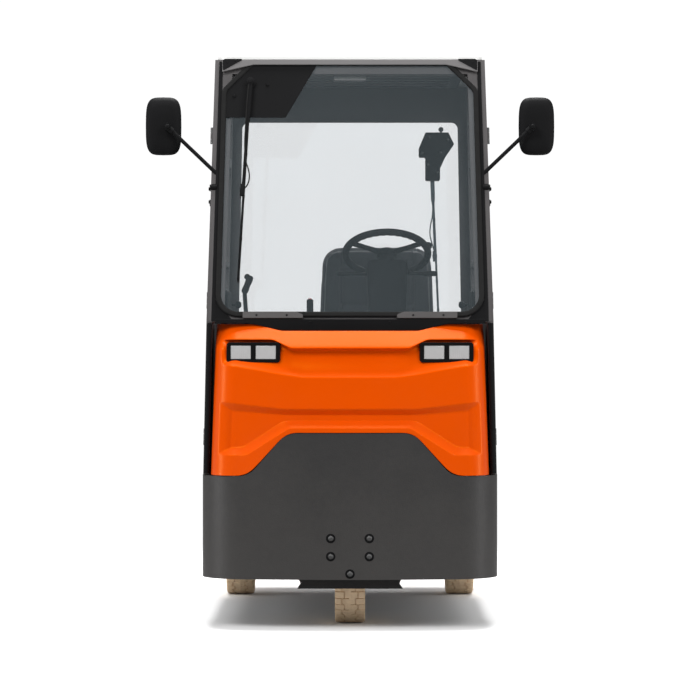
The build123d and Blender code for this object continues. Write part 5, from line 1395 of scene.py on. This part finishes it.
# ---------------------------------------------------------------- steering and controls
class TUG_OT_steering_wheel(TugOperator, bpy.types.Operator):
    """Model the steering wheel with finger grips, spokes, hub and turning knob"""

    bl_idname = "tug.steering_wheel"
    bl_label = "Steering wheel"

    def execute(self, context):
        joint = JOINTS["steering_wheel_turn"]
        matrix = facing(joint["pos_m"], joint["axis"])
        radius, bar, grips, spoke_end = 0.148, 0.0130, 36, 0.146
        rim = bmesh.new()
        bmesh.ops.create_grid(rim, x_segments=grips * 8, y_segments=20, size=1)
        for vert in rim.verts:
            turn, roll = (vert.co.x + 1) * pi, (vert.co.y + 1) * pi
            under = max(0.0, -sin(roll + 0.6))
            thick = bar * (1 - 0.11 * under * (0.5 + 0.5 * cos(grips * turn)))
            reach = radius + thick * cos(roll)
            vert.co = (reach * cos(turn), reach * sin(turn), thick * sin(roll))
        bmesh.ops.remove_doubles(rim, verts=rim.verts, dist=WELD)
        edge = ((0.026, -0.014, 0), (0.090, -0.0105, 0.03), (spoke_end, -0.013, 0))
        outline = rounded([*edge, *((x, -y, fillet) for x, y, fillet in reversed(edge))], 4)
        for angle in (30, 150, 270):
            spoke = bmesh.new()
            plate(spoke, outline, -0.0044, 0.0044)
            sharp = [each for each in spoke.edges if each.calc_face_angle(0) > 0.9]
            softened(spoke, sharp, 0.0028, 3)
            bmesh.ops.rotate(spoke, matrix=Matrix.Rotation(radians(angle), 3, "Z"), verts=spoke.verts)
            joined(rim, spoke)
        hub = (
            (0, 0.0125), (0.020, 0.0122), (0.0235, 0.0105), (0.0245, 0.0085), (0.033, 0.0078),
            (0.0375, 0.003), (0.038, -0.004), (0.034, -0.0125), (0.0258, -0.016), (0.0258, -0.0445),
            (0.0146, -0.0445), (0.0146, -0.014), (0, -0.0138),
        )
        knob = (
            (0, 0.0455), (0.008, 0.0452), (0.0135, 0.042), (0.0158, 0.036), (0.0150, 0.028),
            (0.0105, 0.021), (0.0095, 0.016), (0.0125, 0.0125), (0.0125, 0.006),
        )
        button = ((0, 0.0142), (0.013, 0.0140), (0.0175, 0.0132), (0.0185, 0.0118), (0.0185, 0.010))
        turned(rim, hub, (0, 0, 0), UP, 40)
        turned(rim, knob, (-radius, 0, 0), UP)
        cap = bmesh.new()
        turned(cap, button, (0, 0, 0), UP, 40)
        for mesh in (rim, cap):
            bmesh.ops.transform(mesh, matrix=matrix, verts=mesh.verts)
        finished("steering_wheel_grip", rim, "black_plastic", "steering_wheel", True, smooth=50)
        finished("horn_button", cap, "grey_plastic", "steering_wheel", smooth=50)
        return {"FINISHED"}


class TUG_OT_controls(TugOperator, bpy.types.Operator):
    """Model the stalk grips, the instruments, the pedal pads and the ribbed mat"""

    bl_idname = "tug.controls"
    bl_label = "Controls"

    def execute(self, context):
        low, high = corners("steering_console")
        wheel = Vector(JOINTS["steering_wheel_turn"]["pos_m"])
        grips = bmesh.new()
        grip = (
            (0, 0.0008), (0.0060, 0.0002), (0.0092, -0.004),
            (0.0098, -0.020), (0.0085, -0.044), (0.0062, -0.052),
        )
        ridge = ((0.0088, -0.0016), (0.0104, -0.0006), (0.0104, 0.0006), (0.0088, 0.0016))
        for side, end in ((-1, low.x), (1, high.x)):
            tip, way = Vector((end, wheel.y - 0.045, wheel.z - 0.072)), Vector((side, 0, 0))
            turned(grips, grip, tip, way, 24)
            for i in range(4):
                turned(grips, ridge, tip - way * (0.014 + i * 0.007), way, 24)
        finished("stalk_grips", grips, "black_plastic", "steering_console")

        # Instruments on the dashboard's side towards the driver, and its switches.
        dash = corners("dashboard")[1]
        panel, screen, buttons = bmesh.new(), bmesh.new(), bmesh.new()
        level, pitch = dash.z - 0.060, 0.028
        face = facing((-0.13, dash.y, level), BACK)
        blocks_on(panel, face, ((-0.075, -0.030, -0.002), (0.075, 0.032, 0.0075), 0.004))
        blocks_on(screen, face, ((-0.062, -0.020, 0.004), (0.062, 0.024, 0.0085), 0.0015, 2))
        keys = [(i * pitch - 0.052, i * pitch - 0.030) for i in range(4)]
        keys = [((left, -0.020, -0.002), (right, 0.022, 0.006), 0.0025) for left, right in keys]
        blocks_on(buttons, facing((-0.33, dash.y, level), BACK), *keys)
        collar = ((0.010, 0.003), (0.016, 0.0035), (0.023, 0.0055), (0.0245, 0.004), (0.0245, -0.002))
        for x in (0.30, 0.36):
            place = (x, dash.y, level + 0.002)
            turned(panel, collar, place, BACK, 36)
            turned(buttons, ((0, 0.010), (0.009, 0.0095), (0.0108, 0.008), (0.0115, 0.001)), place, BACK, 28)
        finished("instrument_bezel", panel, "trim_plastic", "dashboard")
        finished("instrument_screen", screen, "lamp_plastic", "dashboard")
        finished("dashboard_switches", buttons, "black_plastic", "dashboard")

        # Ribbed rubber pads on the pedals.
        pads = bmesh.new()
        pedal_low, pedal_high = corners("pedals")
        lean, rib_pitch = atan2(0.070, 0.140), 0.0142
        for x, half in ((-0.060, 0.045), (0.310, 0.035)):
            face = facing((x, pedal_high.y - 0.0015, pedal_low.z + 0.056), (0, cos(lean), sin(lean)))
            pad, rib = half - 0.004, half - 0.008
            blocks_on(pads, face, ((-pad, 0.010, -0.001), (pad, 0.142, 0.0035), 0.0012, 2))
            feet = [0.018 + i * rib_pitch for i in range(9)]
            blocks_on(pads, face, *(((-rib, y, 0.002), (rib, y + 0.006, 0.0062), 0.001, 2) for y in feet))
        finished("pedal_pads", pads, "seal_rubber", "pedals")

        # Ribbed mat on the cab floor.
        mat = bmesh.new()
        floor_z, front, rear = pedal_low.z, pedal_low.y + 0.11, corners("battery_block")[0].y - 0.02
        mat_pitch, margin = 0.012, 0.012
        for left, right in ((-0.425, -0.004), (0.262, 0.425)):
            soft_block(mat, (left, front, floor_z), (right, rear, floor_z + 0.003), 0.001, 2)
            for i in range(int((right - left - 0.02) / mat_pitch)):
                x = left + margin + i * mat_pitch
                rib_low = (x, front + margin, floor_z + 0.002)
                soft_block(mat, rib_low, (x + 0.005, rear - margin, floor_z + 0.0045), 0.0008, 1)
        finished("floor_mat", mat, "seal_rubber", "chassis_frame")
        return {"FINISHED"}


class TUG_OT_side_console(TugOperator, bpy.types.Operator):
    """Model the side console with its switches and the parking brake's lever"""

    bl_idname = "tug.side_console"
    bl_label = "Side console"

    def execute(self, context):
        low, high = corners("side_console")
        top, edge = low.z + 0.190, 0.012
        console, switches, grip = bmesh.new(), bmesh.new(), bmesh.new()
        soft_block(console, low, (high.x, high.y, top), edge, 4)
        tray = (low.x + edge, low.y + 0.13, top - 0.004)
        soft_block(console, tray, (high.x - edge, high.y - edge, top + 0.0005), 0.002, 2)
        lever_x, lever_y = (low.x + high.x) / 2 - 0.030, low.y + 0.090
        foot = Vector((lever_x + 0.011, lever_y, top - 0.004))
        neck = Vector((lever_x - 0.007, lever_y, high.z - 0.068))
        stem = swept([foot.lerp(neck, share) for share in (0, 0.4, 0.8, 1)], 0.0080, sides=20)
        boot = (
            (0.0072, 0.026), (0.0105, 0.020), (0.0150, 0.012), (0.0195, 0.010), (0.0215, 0.002), (0.0225, 0),
        )
        turned(stem, boot, foot + UP * 0.003, UP, 28)
        # The grip leans inboard and ends in a thumb rest.
        lean = Vector((0.40, 0, 1))
        profile = (
            (0.0060, 0.064), (0.0110, 0.060), (0.0130, 0.050), (0.0125, 0.036),
            (0.0115, 0.024), (0.0130, 0.012), (0.0125, 0), (0.0085, -0.006),
        )
        turned(grip, profile, neck, lean, 28)
        ball(grip, neck + lean.normalized() * 0.054 + Vector((-0.010, 0, 0.005)), 0.0115)
        for i in range(3):
            y = low.y + 0.17 + i * 0.05
            switch_high = (lever_x + 0.038, y + 0.026, top + 0.005)
            soft_block(switches, (lever_x + 0.005, y, top - 0.001), switch_high, 0.0018, 2)
        dial = ((0, 0.014), (0.010, 0.0136), (0.0135, 0.011), (0.0145, 0.006), (0.0120, 0.004), (0.0120, 0))
        turned(switches, dial, (lever_x + 0.060, low.y + 0.22, top), UP, 28)
        finished("console_body", console, "black_plastic", "side_console", True)
        finished("parking_brake_lever", joined(stem, grip), "black_plastic", "side_console", smooth=50)
        finished("console_switches", switches, "trim_plastic", "side_console")
        return {"FINISHED"}


# ---------------------------------------------------------------- doors
class TUG_OT_doors(TugOperator, bpy.types.Operator):
    """Fit the doors' glazing beads, pull handles, locks and inner latches"""

    bl_idname = "tug.doors"
    bl_label = "Doors"

    def execute(self, context):
        pull = (
            (-0.052, 0.003), (-0.051, 0.009), (-0.040, 0.0118), (0, 0.0122), (0.030, 0.0118),
            (0.041, 0.009), (0.042, 0.003),
        )
        barrel = (
            (0, 0.0035), (0.0035, 0.0035), (0.0038, 0.0022),
            (0.0072, 0.0020), (0.0080, 0.0004), (0.0080, -0.002),
        )
        knob = (
            (0, 0.012), (0.008, 0.011), (0.0125, 0.006), (0.0135, 0), (0.0115, -0.007), (0.006, -0.011),
        )
        for side, name in ((1, "left"), (-1, "right")):
            joint = JOINTS[f"door_{name}_swing"]
            hinge, axis = joint["pos_m"], joint["axis"]
            node, handle = "door_frame_" + name, "door_handle_" + name
            lean = atan2(abs(axis[0]), abs(axis[2]))
            way = Vector((side * cos(lean), 0, sin(lean)))
            handle_low, handle_high = corners(handle)
            middle = (handle_low + handle_high) / 2
            # Pull and lock on the side wall's face, at the handle's height.
            face = facing(middle - Vector((side * 0.0070, 0, 0)), way)
            grip, lock, beads, latch = (bmesh.new() for _ in range(4))
            blocks_on(grip, face, ((-0.018, -0.065, 0), (0.018, 0.065, 0.0045), 0.0018))
            joined(grip, swept([face @ Vector((0, y, z)) for y, z in pull], 0.0052, sides=14))
            turned(lock, barrel, face @ Vector((0, 0.056, 0.0045)), way, 24)
            # Beads round the door's panes.
            glass_low, glass_high = corners("door_glass_" + name)
            centre_y = (glass_low.y + glass_high.y) / 2
            wide = (glass_high.y - glass_low.y) / 2 - 0.009
            for foot, height in (
                (glass_low.z + 0.010, 0.078), (glass_low.z + 0.106, 0.358), (glass_high.z - 0.142, 0.132),
            ):
                level, tall = foot + height / 2, height / 2 - 0.001
                x = abs(hinge[0]) - 0.009 / cos(lean) - (level - hinge[2]) * tan(lean) - 0.0005
                plane = facing((side * x, centre_y, level), way)
                pane = ((-wide, -tall), (wide, -tall), (wide, tall), (-wide, tall))
                pane = rounded([(*point, 0.016) for point in pane], 5)
                path = [plane @ Vector((*point, 0)) for point in pane]
                joined(beads, swept(path, 0.0032, closed=True, sides=8))
            # Inner latch with its knob, which shows through the windscreen.
            inner, y, z = side * (abs(middle.x) - 0.045), middle.y - 0.03, middle.z + 0.02
            latch_low = (inner - 0.010, middle.y - 0.045, middle.z - 0.020)
            soft_block(latch, latch_low, (inner + 0.010, middle.y + 0.012, middle.z + 0.055), 0.005)
            rod(latch, (inner - side * 0.006, y, z), (inner - side * 0.030, y, z), 0.0045, sides=16)
            turned(latch, knob, (inner - side * 0.034, y, z), (-side, 0, 0), 28)
            finished("door_pull_" + name, grip, "black_plastic", handle, True)
            finished("door_lock_" + name, lock, "steel", handle)
            finished("door_beads_" + name, beads, "seal_rubber", node, smooth=60)
            finished("door_latch_" + name, latch, "black_plastic", node, smooth=45)
        return {"FINISHED"}


# ---------------------------------------------------------------- rear and roof
class TUG_OT_rear(TugOperator, bpy.types.Operator):
    """Model the tail lamps, vents, coupling bolts, lifting pin and hood handle"""

    bl_idname = "tug.rear"
    bl_label = "Rear end"

    def execute(self, context):
        low, high = corners("tail_lamps")
        housing, red, amber, vents, screws, pin, handle = (bmesh.new() for _ in range(7))
        rim, proud = 0.005, high.y - 0.0005
        tail, vent_x = corners("rear_body")[1].y, 0.300
        slat = ((-0.085, -0.007, -0.001), (0.085, 0.004, 0.0045), 0.002, 2)
        for side in SIDES:
            left, right = sorted((side * (high.x - 0.070), side * high.x))
            soft_block(housing, (left, low.y, low.z), (right, high.y - 0.006, high.z), 0.005)
            for mesh, foot, head in ((red, low.z + 0.046, high.z - rim), (amber, low.z + rim, low.z + 0.043)):
                soft_block(mesh, (left + rim, high.y - 0.010, foot), (right - rim, proud, head), 0.003)
            for i in range(7):
                blocks_on(vents, facing((side * vent_x, tail, 0.335 + i * 0.026), BACK), slat)
            cap = ((0, 0.0040), (0.026, 0.0040), (0.029, 0.0020), (0.030, -0.001))
            turned(vents, cap, (side * vent_x, tail, 0.275), BACK, 40)
            for x, z in ((x, z) for x in (0.195, 0.405) for z in (0.300, 0.520)):
                dome(screws, (side * x, tail, z), BACK, 0.006, 0.003)
        finished("tail_lamp_housings", housing, "lamp_plastic", "tail_lamps", True, smooth=45)
        finished("tail_lamp_red", red, "tail_plastic", "tail_lamps", smooth=45)
        finished("tail_lamp_amber", amber, "amber_plastic", "tail_lamps", smooth=45)
        finished("tail_vents", vents, "black_plastic", "rear_body", smooth=45)
        low, high = corners("tow_coupling")
        for x, z in ((x, z) for z in (low.z + 0.010, high.z - 0.010) for x in (-0.040, 0.040)):
            nut(screws, (x, low.y + 0.0145, z), BACK, 0.0075, 0.006)
        finished("tail_screws", screws, "steel", "rear_body")

        low, high = corners("tow_pin")
        middle, shaft, collar, ring = (low + high) / 2, 0.014, high.z - 0.062, 0.029
        profile = (
            (0, low.z), (0.007, low.z), (shaft - 0.002, low.z + 0.008), (shaft, low.z + 0.012),
            (shaft, collar - 0.004), (0.0215, collar - 0.003), (0.0220, collar), (0.0215, collar + 0.003),
            (shaft, collar + 0.004), (shaft, collar + 0.018),
            (shaft - 0.003, collar + 0.024), (0, collar + 0.025),
        )
        turned(pin, [(radius, level - middle.z) for radius, level in profile], middle, UP)
        turns = [2 * pi * i / 16 for i in range(16)]
        loop = [(middle.x + ring * cos(turn), middle.y, high.z - 0.032 + ring * sin(turn)) for turn in turns]
        joined(pin, swept(loop, 0.0052, closed=True, sides=14))
        finished("lifting_pin", pin, "steel", "tow_pin", True, smooth=45)

        hood = corners("rear_hood")[1]
        y, z = hood.y - 0.035, hood.z
        soft_block(handle, (-0.075, y - 0.020, z - 0.003), (0.075, y + 0.020, z + 0.0022), 0.002, 2)
        soft_block(handle, (-0.052, y - 0.006, z + 0.0015), (0.052, y + 0.007, z + 0.0085), 0.003)
        finished("hood_handle", handle, "black_plastic", "rear_hood", smooth=45)
        return {"FINISHED"}


class TUG_OT_headliner(TugOperator, bpy.types.Operator):
    """Line the roof with a moulded panel and a dome lamp"""

    bl_idname = "tug.headliner"
    bl_label = "Headliner"

    def execute(self, context):
        low, high = corners("roof_panel")
        lining, lamp = bmesh.new(), bmesh.new()
        inset, ridge_inset, z = 0.045, 0.09, low.z
        panel_low = (low.x + inset, low.y + 0.06, z - 0.008)
        soft_block(lining, panel_low, (high.x - inset, high.y - inset, z - 0.0005), 0.003, 2)
        for y in (low.y + 0.15 + i * 0.115 for i in range(9)):
            ridge_low = (low.x + ridge_inset, y, z - 0.0105)
            soft_block(lining, ridge_low, (high.x - ridge_inset, y + 0.05, z - 0.006), 0.002, 2)
        soft_block(lamp, (-0.06, -0.08, z - 0.024), (0.06, 0.02, z - 0.007), 0.006, 4)
        finished("roof_lining", lining, "trim_plastic", "roof_panel")
        finished("dome_lamp", lamp, "lens_plastic", "roof_panel", smooth=45)
        return {"FINISHED"}


STEPS = TugOperator.__subclasses__()
CLASSES = [TugColours, TugSizes, *STEPS]


class TUG_PT_panel(bpy.types.Panel):
    """Lists the tug's sizes, colours and pieces"""

    bl_idname = "TUG_PT_panel"
    bl_label = "Baggage tug"
    bl_space_type = "VIEW_3D"
    bl_region_type = "UI"
    bl_category = "Tug"

    def draw(self, context):
        for group in (context.scene.tug_sizes, context.scene.tug_colours):
            for name in group.__annotations__:
                self.layout.prop(group, name)
        for step in STEPS:
            self.layout.operator(step.bl_idname)


def register():
    for each in (*CLASSES, TUG_PT_panel):
        bpy.utils.register_class(each)
    bpy.types.Scene.tug_colours = bpy.props.PointerProperty(type=TugColours)
    bpy.types.Scene.tug_sizes = bpy.props.PointerProperty(type=TugSizes)


def unregister():
    del bpy.types.Scene.tug_sizes
    del bpy.types.Scene.tug_colours
    for each in reversed((*CLASSES, TUG_PT_panel)):
        bpy.utils.unregister_class(each)


def main():
    register()
    for step in STEPS:
        group, name = step.bl_idname.split(".")
        getattr(getattr(bpy.ops, group), name)()


if __name__ == "__main__":
    main()
